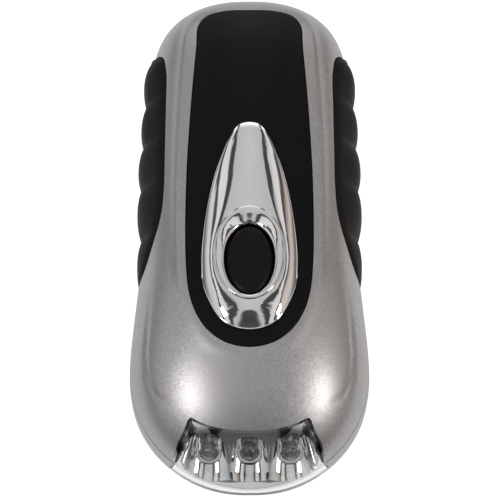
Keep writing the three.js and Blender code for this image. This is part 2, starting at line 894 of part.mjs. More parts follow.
function gripSolid(side) {
  const right = toSolid(lobedBody());
  const swollen = side > 0 ? right : right.mirror([1, 0, 0]);
  return cut(swollen.intersect(gripSide(side, 0)), bodyInside(gripDepth));
}

// Lens, reflector and lamps
function lensSolid() {
  const opening = frontSolid(lensShape(0), lensRearY, -halfLength - cutOverrun);
  return cut(solidBody.intersect(opening), bodyInside(lensThickness));
}

function lampPlaces() {
  return { left: -lampPitch, centre: 0, right: lampPitch };
}

function cupSolid(x) {
  const holeRadius = lampRadius + seatGap;
  const profile = [new THREE.Vector2(0, -cutOverrun)];
  for (let k = 0; k <= cupSteps; k += 1) {
    const share = k / cupSteps;
    const radius = Math.sqrt(holeRadius ** 2 + share * (cupMouthRadius ** 2 - holeRadius ** 2));
    profile.push(new THREE.Vector2(radius, reflectorWall + share * cupDepth));
  }
  const reach = reflectorWall + cupDepth + halfLength;
  profile.push(new THREE.Vector2(cupMouthRadius, reach));
  profile.push(new THREE.Vector2(0, reach));
  profile.splice(1, 0, new THREE.Vector2(holeRadius, -cutOverrun));
  const geometry = new THREE.LatheGeometry(profile, coarseSides);
  geometry.rotateX(Math.PI);
  geometry.translate(x, reflectorBackY, lampHeight);
  return toSolid(geometry);
}

function reflectorSolid() {
  const block = frontSolid(lensShape(-lensThickness), reflectorBackY, -halfLength);
  const front = bodyInside(lensThickness + seatGap);
  const cups = Object.values(lampPlaces()).map((x) => cupSolid(x));
  return cut(block.intersect(front), ...cups);
}

function lampSolid() {
  const domeStart = lampLength - lampRadius;
  const profile = [
    new THREE.Vector2(0, 0),
    new THREE.Vector2(lampFlangeRadius, 0),
    new THREE.Vector2(lampFlangeRadius, lampFlangeThickness),
    new THREE.Vector2(lampRadius, lampFlangeThickness),
  ];
  for (let k = 0; k < lampDomeSteps; k += 1) {
    const angle = Math.PI / 2 * k / lampDomeSteps;
    profile.push(new THREE.Vector2(lampRadius * Math.cos(angle), domeStart + lampRadius * Math.sin(angle)));
  }
  profile.push(new THREE.Vector2(0, lampLength));
  const bulb = new THREE.LatheGeometry(profile, coarseSides);
  const leads = [-1, 1].map((side) => {
    const lead = new THREE.BoxGeometry(lampLeadSize, lampLeadLength + lampLeadSize, lampLeadSize);
    lead.translate(side * lampLeadPitch / 2, (lampLeadSize - lampLeadLength) / 2, 0);
    return toSolid(lead);
  });
  const geometry = toGeometry(join(toSolid(bulb), ...leads));
  geometry.rotateX(Math.PI);
  return geometry;
}

const lampFlangeBackY = reflectorBackY + seatGap + lampFlangeThickness;
const lampBoardFrontY = lampFlangeBackY + seatGap;

function lampBoardSolid() {
  const board = boxSolid(
    -lampBoardHalfWidth,
    lampBoardHalfWidth,
    lampBoardFrontY,
    lampBoardFrontY + lampBoardThickness,
    lampHeight - lampBoardHeight / 2,
    lampHeight + lampBoardHeight / 2,
  );
  const holeHalf = lampLeadSize / 2 + seatGap;
  const holes = Object.values(lampPlaces()).flatMap((x) => [-1, 1].map((side) => boxSolid(
    x + side * lampLeadPitch / 2 - holeHalf,
    x + side * lampLeadPitch / 2 + holeHalf,
    lampBoardFrontY - cutOverrun,
    lampBoardFrontY + lampBoardThickness + cutOverrun,
    lampHeight - holeHalf,
    lampHeight + holeHalf,
  )));
  return cut(board, ...holes);
}

// Gears: straight-sided teeth, the first one centred on the phase angle
function gearShape(teeth, module, phase) {
  const pitchRadius = module * teeth / 2;
  const tip = pitchRadius + addendumShare * module;
  const root = pitchRadius - dedendumShare * module;
  const pitchAngle = 2 * Math.PI / teeth;
  const corners = [[-rootHalfShare, root], [-tipHalfShare, tip], [tipHalfShare, tip], [rootHalfShare, root]];
  const points = [];
  for (let k = 0; k < teeth; k += 1) {
    for (const [share, radius] of corners) {
      const angle = phase + pitchAngle * (k + share);
      points.push(new THREE.Vector2(radius * Math.cos(angle), radius * Math.sin(angle)));
    }
  }
  return new THREE.Shape(points);
}

function gearSolid(teeth, module, phase, z0, z1) {
  return planSolid(gearShape(teeth, module, phase), z0, z1);
}

// A wheel that meets a tooth pointing along an angle has a gap there.
function gapPhase(angle, teeth) {
  return angle + Math.PI + Math.PI / teeth;
}

function crankGear() {
  const gear = gearSolid(crankGearTeeth, coarseModule, firstGearAngle, 0, crankGearWidth);
  const bore = rodSolid(0, 0, shaftRadius + seatGap, -cutOverrun, crankGearWidth + cutOverrun);
  const windows = [];
  for (let k = 0; k < crankGearWindowCount; k += 1) {
    const angle = 2 * Math.PI * k / crankGearWindowCount;
    windows.push(rodSolid(
      crankGearWindowReach * Math.cos(angle),
      crankGearWindowReach * Math.sin(angle),
      crankGearWindowRadius,
      -cutOverrun,
      crankGearWidth + cutOverrun,
    ));
  }
  return cut(gear, bore, ...windows);
}

function compoundGear(pinion, wheel, pinionHeight) {
  const small = gearSolid(pinion.teeth, pinion.module, pinion.phase, 0, pinionHeight + fineGearWidth);
  const large = gearSolid(wheel.teeth, wheel.module, wheel.phase, pinionHeight, pinionHeight + fineGearWidth);
  const height = pinionHeight + fineGearWidth;
  return cut(join(small, large), rodSolid(0, 0, axleRadius + seatGap, -cutOverrun, height + cutOverrun));
}

function plateSolid() {
  const outline = new THREE.Shape([
    new THREE.Vector2(-plateFrontHalfWidth, -plateFrontForward),
    new THREE.Vector2(plateFrontHalfWidth, -plateFrontForward),
    new THREE.Vector2(plateRearHalfWidth, plateRearY),
    new THREE.Vector2(-plateRearHalfWidth, plateRearY),
  ]);
  const hole = (x, y, radius) => (
    rodSolid(x, y, radius + seatGap, plateZ - cutOverrun, plateTopZ + cutOverrun)
  );
  const holes = [
    hole(hubPlace.x, hubPlace.y, shaftRadius),
    ...[firstPlace, secondPlace].map((place) => hole(place.x, place.y, axleRadius)),
    hole(rotorPlace.x, rotorPlace.y, rotorShaftRadius),
    ...Object.values(postPlaces).map(([x, y]) => hole(x, y, plateScrewRadius)),
  ];
  return cut(planSolid(outline, plateZ, plateTopZ).intersect(bodyInside(shellWall + runningGap)), ...holes);
}

// Screws: a round head with a slot, its shank running up along Z from the head's seat
function screwSolid(headRadius, headHeight, shankRadius, length) {
  const head = rodSolid(0, 0, headRadius, -headHeight, 0);
  const shank = rodSolid(0, 0, shankRadius, -headHeight / 2, length, pinSides);
  const slotHalf = headRadius * screwSlotShare;
  const slotBottomZ = -headHeight / 2;
  const slot = boxSolid(-headRadius, headRadius, -slotHalf, slotHalf, slotBottomZ - headHeight, slotBottomZ);
  return cut(join(head, shank), slot);
}

// Crank arm: a bar that tapers from the hub to a fork that holds the folding knob
function barShape(hubRadius, tipRadius, reach) {
  const lean = Math.asin((hubRadius - tipRadius) / reach);
  const shape = new THREE.Shape();
  shape.absarc(0, reach, tipRadius, lean, Math.PI - lean, false);
  shape.absarc(0, 0, hubRadius, Math.PI - lean, 2 * Math.PI + lean, false);
  return shape;
}

function armSolid() {
  const height = armTopZ - armBottomZ;
  const bar = barShape(armHubRadius - armEdge, armTipRadius - armEdge, armReach);
  const geometry = new THREE.ExtrudeGeometry(bar, {
    depth: height - 2 * armEdge,
    bevelEnabled: true,
    bevelThickness: armEdge,
    bevelSize: armEdge,
    bevelSegments: 1,
    curveSegments: armCornerSteps,
  });
  geometry.translate(0, 0, armEdge);
  const slotHalf = knobRadius + knobSlotGap;
  const slot = boxSolid(
    -slotHalf,
    slotHalf,
    armReach - Math.hypot(knobEnd, knobRadius) - runningGap,
    armReach + swivelRadius + runningGap,
    -cutOverrun,
    height + cutOverrun,
  );
  const pinHole = toSolid(new THREE.CylinderGeometry(
    knobPinRadius + seatGap, knobPinRadius + seatGap, 2 * (armTipRadius - knobPinInset + seatGap), pinSides,
  ).rotateZ(Math.PI / 2).translate(0, armReach, height / 2));
  const bore = rodSolid(0, 0, shaftRadius + seatGap, -cutOverrun, height + cutOverrun);
  const well = rodSolid(0, 0, hubWellRadius + seatGap, -cutOverrun, hubWellDepth);
  return cut(toSolid(geometry), slot, pinHole, bore, well);
}

// The swivel and its spindle point along -Y from the pin, folded into the arm
function swivelSolid() {
  const width = 2 * knobRadius;
  const barrel = toSolid(new THREE.CylinderGeometry(swivelRadius, swivelRadius, width, coarseSides)
    .rotateZ(Math.PI / 2));
  const spindleLength = knobEnd - rivetHeadHeight - seatGap;
  const spindle = toSolid(new THREE.CylinderGeometry(spindleRadius, spindleRadius, spindleLength, pinSides)
    .translate(0, -spindleLength / 2, 0));
  const pinHole = toSolid(new THREE.CylinderGeometry(
    knobPinRadius + seatGap, knobPinRadius + seatGap, width + 2 * cutOverrun, pinSides,
  ).rotateZ(Math.PI / 2));
  return cut(join(barrel, spindle), pinHole);
}

function knobGeometry() {
  const boreEnd = knobLength - rivetHeadHeight - seatGap;
  const profile = [
    [knobBoreRadius, 0],
    [knobRadius - knobWaist, 0],
    [knobRadius, knobWaist],
    [knobRadius, knobLength * knobShoulderShare],
    [knobRadius - knobWaist, knobLength / 2],
    [knobRadius, knobLength * (1 - knobShoulderShare)],
    [knobRadius, knobLength - knobWaist],
    [knobRadius - knobWaist, knobLength],
    [rivetHeadRadius + seatGap, knobLength],
    [rivetHeadRadius + seatGap, boreEnd],
    [knobBoreRadius, boreEnd],
    [knobBoreRadius, 0],
  ].map(([radius, y]) => new THREE.Vector2(radius, y));
  return new THREE.LatheGeometry(profile, coarseSides).rotateX(Math.PI);
}

// Leads: a thin round tube along a smooth route
function leadGeometry(points) {
  const route = new THREE.CatmullRomCurve3(points.map((point) => new THREE.Vector3(...point)));
  const frames = route.computeFrenetFrames(leadSteps);
  const loops = frames.tangents.map((tangent, step) => {
    const middle = route.getPointAt(step / leadSteps);
    return Array.from({ length: leadSides }, (_, k) => {
      const angle = 2 * Math.PI * k / leadSides;
      return middle.clone()
        .addScaledVector(frames.normals[step], leadRadius * Math.cos(angle))
        .addScaledVector(frames.binormals[step], leadRadius * Math.sin(angle));
    });
  });
  return skinGeometry(loops, { startPoint: route.getPointAt(0), endPoint: route.getPointAt(1) });
}

// Finishes
function finish(color, roughness, metalness, extra = {}) {
  return new THREE.MeshStandardMaterial({ color, roughness, metalness, ...extra });
}

const finishes = {
  silverPaint: finish(0x9b9896, 0.38, 0.6),
  blackSatin: finish(0x1b1a1b, 0.42, 0),
  rubber: finish(0x2a2725, 0.75, 0),
  chrome: finish(0xd9d8d6, 0.06, 1),
  clear: finish(0xe9eef0, 0.05, 0, { transparent: true, opacity: 0.35 }),
  lampClear: finish(0xdfe6e8, 0.08, 0, { transparent: true, opacity: 0.5 }),
  steel: finish(0xaaacae, 0.3, 1),
  brass: finish(0xb98f45, 0.35, 1),
  copper: finish(0xa8582c, 0.4, 1),
  magnet: finish(0x3a3a3d, 0.5, 0.3),
  nylon: finish(0xe8e5da, 0.5, 0),
  board: finish(0x1f6b3a, 0.5, 0),
  blackPlastic: finish(0x1f1f20, 0.5, 0),
  greyPlastic: finish(0x3b3b3d, 0.5, 0),
  cellSleeve: finish(0x3f7d4a, 0.5, 0),
  redLead: finish(0xa3201c, 0.5, 0),
  blackLead: finish(0x1a1a1a, 0.5, 0),
};

const flashlight = new THREE.Group();

function add(name, geometry, material, place = [0, 0, 0], parent = flashlight) {
  const mesh = new THREE.Mesh(geometry, material);
  mesh.name = name;
  mesh.position.set(...place);
  parent.add(mesh);
  return mesh;
}

function addCase() {
  add("upper_shell", toGeometry(upperShell()), finishes.silverPaint);
  add("lower_shell", toGeometry(lowerShell()), finishes.silverPaint);
  add("top_panel", toGeometry(topPanel()), finishes.blackSatin);
  add("chrome_bezel", bezelGeometry(), finishes.chrome);
  add("grip_left", toGeometry(gripSolid(-1)), finishes.rubber);
  add("grip_right", toGeometry(gripSolid(1)), finishes.rubber);
  const screw = toGeometry(screwSolid(
    caseScrewHeadRadius, caseScrewHeadHeight, caseScrewRadius, caseScrewLength,
  ));
  for (const { name, x, y } of screwPlaces()) {
    add(name, screw, finishes.steel, [x, y, caseScrewHeadZ + caseScrewHeadHeight]);
  }
}

function addLamps() {
  add("lens", toGeometry(lensSolid()), finishes.clear);
  add("reflector", toGeometry(reflectorSolid()), finishes.chrome);
  const lamp = lampSolid();
  for (const [side, x] of Object.entries(lampPlaces())) {
    add(`lamp_${side}`, lamp, finishes.lampClear, [x, lampFlangeBackY, lampHeight]);
  }
  add("lamp_board", toGeometry(lampBoardSolid()), finishes.board);
}

function addSwitch() {
  add("switch_button", buttonSolid(), finishes.blackPlastic);
  const half = switchBodySize / 2;
  add("switch_body", toGeometry(cut(
    boxSolid(-half, half, -half, half, 0, switchBodyHeight),
    rodSolid(0, 0, plungerRadius + seatGap, switchBodyHeight - buttonTravel - runningGap, switchTopZ),
  )), finishes.blackPlastic, [0, buttonY, boardTopZ + seatGap]);
  add(
    "switch_plunger",
    toGeometry(rodSolid(0, 0, plungerRadius, 0, plungerHeight + seatGap)),
    finishes.nylon,
    [0, buttonY, switchTopZ - seatGap],
  );
}

function addBoard() {
  const screwHoles = [-1, 1].map((side) => rodSolid(
    side * boardPostX, boardPostY, boardScrewRadius + seatGap, boardZ - cutOverrun, boardTopZ + cutOverrun,
  ));
  const board = boxSolid(-boardHalfWidth, boardHalfWidth, -boardFrontForward, boardRearY, boardZ, boardTopZ);
  add("main_board", toGeometry(cut(board, ...screwHoles)), finishes.board);
  const screw = toGeometry(screwSolid(
    boardScrewHeadRadius, boardScrewHeadHeight, boardScrewRadius, boardScrewLength,
  ));
  for (const [name, side] of [["board_screw_left", -1], ["board_screw_right", 1]]) {
    add(name, screw, finishes.steel, [side * boardPostX, boardPostY, boardZ - seatGap]);
  }
  add(
    "capacitor",
    toGeometry(rodSolid(0, 0, capacitorRadius, 0, capacitorHeight)),
    finishes.greyPlastic,
    [capacitorX, -capacitorForward, boardTopZ + seatGap],
  );
  add(
    "rectifier",
    new THREE.BoxGeometry(rectifierWidth, rectifierLength, rectifierHeight),
    finishes.blackPlastic,
    [-rectifierLeft, rectifierY, boardTopZ + seatGap + rectifierHeight / 2],
  );
}

function addCells() {
  const outerRadius = cellRadius + seatGap + holderWall;
  const pitch = cellHeight + seatGap;
  const cup = cut(
    rodSolid(0, 0, outerRadius, 0, holderHeight, fineSides),
    rodSolid(0, 0, cellRadius + seatGap, holderFloor, holderHeight + cutOverrun, fineSides),
  );
  add("cell_holder", toGeometry(cup), finishes.blackPlastic, [0, cellY, floorTopZ + seatGap]);
  const cell = toGeometry(rodSolid(0, 0, cellRadius, 0, cellHeight, fineSides));
  for (let k = 0; k < cellCount; k += 1) {
    add(`cell_${k + 1}`, cell, finishes.cellSleeve, [0, cellY, cellBottomZ + k * pitch]);
  }
  add(
    "cell_strip",
    new THREE.BoxGeometry(cellStripWidth, 2 * cellRadius, cellStripThickness),
    finishes.steel,
    [0, cellY, cellBottomZ + cellCount * pitch + cellStripThickness / 2],
  );
}

function addGears() {
  add("crank_gear", toGeometry(crankGear()), finishes.nylon, [hubPlace.x, hubPlace.y, crankGearZ]);
  add("first_gear", toGeometry(compoundGear(
    { teeth: firstPinionTeeth, module: coarseModule, phase: gapPhase(firstGearAngle, firstPinionTeeth) },
    { teeth: firstGearTeeth, module: fineModule, phase: secondGearAngle },
    firstGearZ - crankGearZ,
  )), finishes.nylon, [firstPlace.x, firstPlace.y, crankGearZ]);
  add("second_gear", toGeometry(compoundGear(
    { teeth: secondPinionTeeth, module: fineModule, phase: gapPhase(secondGearAngle, secondPinionTeeth) },
    { teeth: secondGearTeeth, module: fineModule, phase: rotorAngle },
    secondGearZ - firstGearZ,
  )), finishes.nylon, [secondPlace.x, secondPlace.y, firstGearZ]);
  add("gear_plate", toGeometry(plateSolid()), finishes.steel);
  const axleBottomZ = archHeight + shellWall / 2 + seatGap;
  const axle = toGeometry(rodSolid(0, 0, axleRadius, 0, plateTopZ - axleBottomZ, pinSides));
  add("first_axle", axle, finishes.steel, [firstPlace.x, firstPlace.y, axleBottomZ]);
  add("second_axle", axle, finishes.steel, [secondPlace.x, secondPlace.y, axleBottomZ]);
  const screw = toGeometry(screwSolid(
    plateScrewHeadRadius, plateScrewHeadHeight, plateScrewRadius, plateScrewLength,
  ).rotate([180, 0, 0]));
  for (const [side, [x, y]] of Object.entries(postPlaces)) {
    add(`plate_screw_${side}`, screw, finishes.steel, [x, y, plateTopZ + seatGap]);
  }
}

function addGenerator() {
  const place = [rotorPlace.x, rotorPlace.y, 0];
  const group = new THREE.Group();
  group.position.set(...place);
  flashlight.add(group);
  const can = cut(
    rodSolid(0, 0, canRadius, canZ, canZ + canHeight, fineSides),
    rodSolid(0, 0, canRadius - canWall, canZ - cutOverrun, canZ + canHeight - canWall, fineSides),
    rodSolid(0, 0, rotorShaftRadius + seatGap, canZ, canZ + canHeight + cutOverrun),
  );
  add("generator_can", toGeometry(can), finishes.steel, [0, 0, 0], group);
  const coilZ = canZ + (canHeight - canWall - coilHeight) / 2;
  const coilRadius = canRadius - canWall - seatGap;
  const coil = ringSolid(0, 0, coilInnerRadius, coilRadius, coilZ, coilZ + coilHeight, fineSides);
  add("generator_coil", toGeometry(coil), finishes.copper, [0, 0, 0], group);
  const magnetZ = canZ + (canHeight - canWall - magnetHeight) / 2;
  const magnet = ringSolid(
    0, 0, rotorShaftRadius + seatGap, magnetRadius, magnetZ, magnetZ + magnetHeight,
  );
  add("rotor_magnet", toGeometry(magnet), finishes.magnet, [0, 0, 0], group);
  const shaftTopZ = canZ + canHeight;
  const shaft = rodSolid(0, 0, rotorShaftRadius, secondGearZ - seatGap, shaftTopZ, pinSides);
  add("rotor_shaft", toGeometry(shaft), finishes.steel, [0, 0, 0], group);
  const pinionPhase = gapPhase(rotorAngle, rotorPinionTeeth);
  const pinion = cut(
    gearSolid(rotorPinionTeeth, fineModule, pinionPhase, secondGearZ, secondGearZ + fineGearWidth),
    rodSolid(0, 0, rotorShaftRadius + seatGap, secondGearZ - cutOverrun, plateZ),
  );
  add("rotor_pinion", toGeometry(pinion), finishes.brass, [0, 0, 0], group);
}

function addCrank() {
  const group = new THREE.Group();
  group.position.set(hubPlace.x, hubPlace.y, 0);
  flashlight.add(group);
  add("crank_arm", toGeometry(armSolid()), finishes.blackPlastic, [0, 0, armBottomZ], group);
  const shaft = cut(
    rodSolid(0, 0, shaftRadius, shaftBottomZ, plateTopZ),
    rodSolid(0, 0, hubScrewRadius + seatGap, 0, shaftBottomZ + hubScrewLength),
  );
  add("crank_shaft", toGeometry(shaft), finishes.steel, [0, 0, 0], group);
  const washerTopZ = shaftBottomZ - seatGap;
  const headTopZ = washerTopZ - washerThickness;
  add("hub_washer", toGeometry(ringSolid(
    0, 0, hubScrewRadius + seatGap, hubWellRadius - seatGap, headTopZ, washerTopZ,
  )), finishes.steel, [0, 0, 0], group);
  const screw = screwSolid(hubScrewHeadRadius, hubScrewHeadHeight, hubScrewRadius, hubScrewLength);
  add("hub_screw", toGeometry(screw), finishes.steel, [0, 0, headTopZ - seatGap / 2], group);
  add("hub_cap", toGeometry(rodSolid(0, 0, hubWellRadius, 0, hubCapThickness)), finishes.silverPaint,
    [0, 0, armBottomZ - seatGap], group);
  const bushInner = shaftRadius + seatGap;
  const bushOuter = bushInner + bushWall;
  const bush = join(
    ringSolid(0, 0, bushInner, bushOuter, archHeight, bushFlangeTopZ),
    ringSolid(0, 0, bushInner, bushOuter + bushFlangeWidth, floorTopZ + seatGap / 2, bushFlangeTopZ),
  );
  add("shaft_bush", toGeometry(bush), finishes.brass, [0, 0, 0], group);

  const tip = new THREE.Group();
  tip.position.set(0, armReach, knobAxisZ);
  group.add(tip);
  const pinLength = 2 * (armTipRadius - knobPinInset);
  const pin = new THREE.CylinderGeometry(knobPinRadius, knobPinRadius, pinLength, pinSides)
    .rotateZ(Math.PI / 2);
  add("knob_pin", pin, finishes.steel, [0, 0, 0], tip);
  add("knob_swivel", toGeometry(swivelSolid()), finishes.steel, [0, 0, 0], tip);
  add("crank_knob", knobGeometry(), finishes.blackPlastic, [0, -knobStart, 0], tip);
  const rivet = new THREE.CylinderGeometry(rivetHeadRadius, rivetHeadRadius, rivetHeadHeight, coarseSides);
  add("knob_rivet", rivet, finishes.steel, [0, rivetHeadHeight / 2 - knobEnd, 0], tip);
}

// Each lead starts and ends square to what it is soldered to
function addLeads() {
  const edge = seatGap;
  const leadZ = (boardZ + boardTopZ) / 2;
  const frontY = -boardFrontForward - edge;
  const lampBackY = lampBoardFrontY + lampBoardThickness + edge;
  const lampLeadZ = lampHeight + lampBoardHeight / 4;
  for (const [name, side, finishName] of [
    ["lamp_lead_red", 1, "redLead"], ["lamp_lead_black", -1, "blackLead"],
  ]) {
    const x = side * lampLeadX;
    add(name, leadGeometry([
      [x, frontY, leadZ],
      [x, frontY - leadOverlook, leadZ],
      [x, lampBackY + leadOverlook, lampLeadZ],
      [x, lampBackY, lampLeadZ],
    ]), finishes[finishName]);
  }
  const rearY = boardRearY + edge;
  const stripY = cellY - cellRadius - edge;
  const stripZ = cellBottomZ + cellCount * (cellHeight + seatGap) + cellStripThickness / 2;
  add("cell_lead_red", leadGeometry([
    [0, rearY, leadZ],
    [0, rearY + leadOverlook, leadZ],
    [0, stripY - leadOverlook, stripZ],
    [0, stripY, stripZ],
  ]), finishes.redLead);
  const holderRadius = cellRadius + seatGap + holderWall;
  const holderFrontY = cellY - Math.sqrt(holderRadius ** 2 - cellLeadX ** 2) - edge;
  const holderZ = floorTopZ + seatGap + holderFloor + leadOverlook;
  const dropY = (rearY + holderFrontY) / 2;
  add("cell_lead_black", leadGeometry([
    [-cellLeadX, rearY, leadZ],
    [-cellLeadX, rearY + leadOverlook, leadZ],
    [-cellLeadX, dropY + leadOverlook / 2, (leadZ + holderZ) / 2],
    [-cellLeadX, holderFrontY - leadOverlook, holderZ],
    [-cellLeadX, holderFrontY - leadRadius, holderZ],
  ]), finishes.blackLead);
  const canSideZ = canZ + canHeight / 2;
  for (const [name, side, finishName] of [
    ["generator_lead_red", -1, "redLead"], ["generator_lead_black", 1, "blackLead"],
  ]) {
    const y = rotorPlace.y + side * generatorLeadSpread;
    const canSideX = rotorPlace.x + Math.sqrt(canRadius ** 2 - generatorLeadSpread ** 2) + 2 * edge;
    add(name, leadGeometry([
      [canSideX, y, canSideZ],
      [canSideX + leadOverlook, y, canSideZ],
      [boardHalfWidth + edge + leadOverlook, y, leadZ],
      [boardHalfWidth + edge, y, leadZ],
    ]), finishes[finishName]);
  }
}

addCase();
addLamps();
addSwitch();
addBoard();
addCells();
addGears();
addGenerator();
addCrank();
addLeads();

export default flashlight;
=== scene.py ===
# Looks of the hand crank flashlight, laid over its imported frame.
# Shapes are worked out in millimetres and turned into metres as each piece is made.
import json
import math

import bmesh
import bpy
import numpy as np
from mathutils import Matrix, Vector
from mathutils.bvhtree import BVHTree
from mathutils.interpolate import poly_3d_calc


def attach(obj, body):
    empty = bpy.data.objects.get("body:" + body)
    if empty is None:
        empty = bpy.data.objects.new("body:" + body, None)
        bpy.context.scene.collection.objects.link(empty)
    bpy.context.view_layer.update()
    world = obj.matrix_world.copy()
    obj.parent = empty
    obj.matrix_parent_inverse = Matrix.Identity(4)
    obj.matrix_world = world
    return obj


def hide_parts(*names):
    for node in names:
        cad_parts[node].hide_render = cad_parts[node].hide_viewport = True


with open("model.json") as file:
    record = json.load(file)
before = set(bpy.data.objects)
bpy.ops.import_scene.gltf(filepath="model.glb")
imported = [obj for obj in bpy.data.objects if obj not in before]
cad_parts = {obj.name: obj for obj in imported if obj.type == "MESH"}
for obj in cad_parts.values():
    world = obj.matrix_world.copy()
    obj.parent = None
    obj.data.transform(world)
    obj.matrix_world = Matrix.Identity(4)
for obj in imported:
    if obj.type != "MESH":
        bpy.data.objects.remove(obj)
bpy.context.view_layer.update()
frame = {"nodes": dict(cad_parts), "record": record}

MM = 0.001
WELD = 0.0004
GAP = 0.3
TINY = 1e-6
# How far cutters run past the body, sideways and upwards
OUTSIDE, ABOVE = 90, 60

# Body form, with the curves of the frame's shells
HALF_LENGTH = 68
WIDE_HALF, WAIST_HALF, TAIL_HALF = 30, 28.1, 26.2
WAIST_START, WAIST_RUN, NARROWING = -7, 49, 30
NOSE_START, TAIL_START, BELLY_TAIL_START = -37, 42, 52
NOSE_POWER, TAIL_POWER, CROWN_TAIL_POWER, BELLY_END_POWER = 2.1, 2.8, 3.6, 3.2
TOP_POWER, BELLY_POWER = 2.4, 3
WIDEST = 20.7
SEAM = 25.2
CROWN, CROWN_PEAK = 22.9, -10
BELLY = 21.8
TUCK, TUCK_DROP, TUCK_START, TUCK_RUN = 2.4, 8, -41, 27
SHELL_WALL = 2.2
HOLLOW_LIFT = 0.3
HOLLOW_FILLET, ARCH_FILLET = 2, 1.2

# Case screws, from the front left to the rear right
SCREWS = [(-13, -46.1), (13, -46.1), (-11, 58), (11, 58)]
BOSS_RADIUS, WELL_RADIUS, WELL_TOP, HOLE_RADIUS = 3.6, 2.5, 4.6, 1.5

# Top panel, bezel and button
PANEL_WIDTH = 15.6
PANEL_FRONT = -37
PANEL_REAR = 60
PANEL_SHARES = [
    (0, 1), (0.42, 0.999), (0.72, 0.985), (0.85, 0.95), (0.87, 0.88), (0.94, 0.7), (1, 0.47),
    (0.99, 0.24), (0.93, 0.145), (0.82, 0.09), (0.64, 0.045), (0.36, 0.012), (0, 0),
]
# The line along the middle that the outline closes up to
PANEL_LINE = -22, 50
PANEL_WALL, PANEL_INSET = 1.3, 0.26
RECESS_DEPTH = 1.6
DISH_DEPTH, DISH_RUN = 0.22, 1.6
BEZEL_WIDTH = 11.3
BEZEL_TIP = 22.6
BEZEL_FRONT = -32.6
BEZEL_SHARES = [
    (0, 1), (0.2, 0.99), (0.36, 0.945), (0.53, 0.865), (0.77, 0.7), (0.92, 0.535), (1, 0.37),
    (1, 0.29), (0.965, 0.21), (0.83, 0.13), (0.6, 0.05), (0.32, 0.012), (0, 0),
]
BEZEL_LINE = -16, 8
BEZEL_SEAT = 0.9
BEZEL_SKIRT = -0.6
FLANGE_INSET, FLANGE_RISE, DOME_RISE = 0.55, 0.36, 1.44
# How the dome rises ahead of the button, along and across
FRONT_STEP, FRONT_REACH, FRONT_HALF = 0.5, 5.6, 7
FRONT_BASE, FRONT_SLOPE, FRONT_CURVE, FRONT_SIDE_CURVE = 0.4, 0.545, 0.0485, 0.018
CREST_WIDTH, CREST_LENGTH, CREST_Y = 9, 12.5, -13.7
HOLE_WIDTH, HOLE_LENGTH, BUTTON_Y = 6.15, 9.6, -15.4
BUTTON_BOTTOM, BUTTON_GAP, BUTTON_FLANGE = 37.8, 0.35, 1.5
PASSAGE_BOTTOM = 33

# Grips
GRIP_FRONT, GRIP_REAR = -14.8, 51
GRIP_BOTTOM, GRIP_TOP = 14.2, 36.4
GRIP_SHARES = [
    (0, 0.45), (0.02, 0.67), (0.053, 0.78), (0.134, 0.905), (0.224, 0.98), (0.34, 1), (0.483, 0.986),
    (0.696, 0.95), (0.878, 0.892), (0.955, 0.81), (1, 0.58), (0.985, 0.28), (0.92, 0.06), (0.8, 0),
    (0.5, 0), (0.22, 0.02), (0.07, 0.15),
]
GRIP_LINE = GRIP_FRONT + 10, GRIP_REAR - 9, 25.5
GRIP_DEPTH = 1.3
GRIP_CUT_REACH = 40
EDGE_SINK, EDGE_ROUND, FLAT_RISE = 0.15, 1.4, 0.35
# Where the grooves between the lobes cross the widest line
VALLEYS = [-30, -14.8, -0.3, 14.2, 26.4, 38.6, 51, 70]
LOBE_SLANT = -0.2
LOBE_RISE, LOBE_MORE, LOBE_START, LOBE_RUN = 0.6, 1.45, -14, 34
GROOVE_DEPTH = 1.3
FADE_SHARE, FADE_START, FADE_RUN = 0.92, 28, 8

# Lens, reflector and lamps
LENS_CORNERS = [(19.9, 18.2), (17.3, 30.2), (14.4, 34.7)]
LENS_CORNER_RADIUS = 0.8
LENS_FRONT, LENS_REAR = -80, -50.5
LENS_WALL = 1.5
REFLECTOR_BACK = -52.6
REFLECTOR_FRONT = -64.2
REFLECTOR_INSET, REFLECTOR_SIDE_GAP = 1.8, 1.2
APRON_BOTTOM, APRON_TOP = 18.9, 19.9
CUP_HOLE, CUP_FOOT, CUP_MOUTH = 2.8, 4.8, 7
CUP_FLOOR, CUP_DEPTH, CUP_WIDENING = 1.2, 8.5, 1.055
LAMP_PITCH = 9.8
LAMP_Z = 27
LAMP_BACK = -51.3
LAMP_RADIUS, DOME_START = 2.5, 7.3
LAMP_POSTS = {
    "anode": ((-1.45, -0.3, -1.8), (-0.2, 0.3, 5.5)),
    "cathode": ((0.35, -0.3, -1.8), (1.45, 0.3, 5.9)),
}

# Crank and folding knob
HUB_Y = 6
HUB_RADIUS, HUB_HOLE = 10.5, 4.5
ARCH_HEIGHT = 11
ARCH_REACH = 48.5
ARM_REACH, ARM_END_RADIUS = 40, 7.5
ARM_BOTTOM, ARM_TOP = 1.2, 10
SLOT_HALF, SLOT_BACK, SLOT_AHEAD = 4.5, 20.2, 4.3
PIN_Z, PIN_RADIUS, PIN_REACH = 5.6, 1.4, 6.9
KNOB_START, KNOB_LENGTH, KNOB_RADIUS, KNOB_WAIST = 4.2, 15, 4.1, 0.55


def mix(a, b, share):
    return a + (b - a) * min(max(share, 0), 1)


def smooth(share):
    t = min(max(share, 0), 1)
    return t * t * (3 - 2 * t)


def cap_share(share, roundness):
    t = min(max(share, 0), 1)
    return (1 - t ** roundness) ** (1 / roundness)


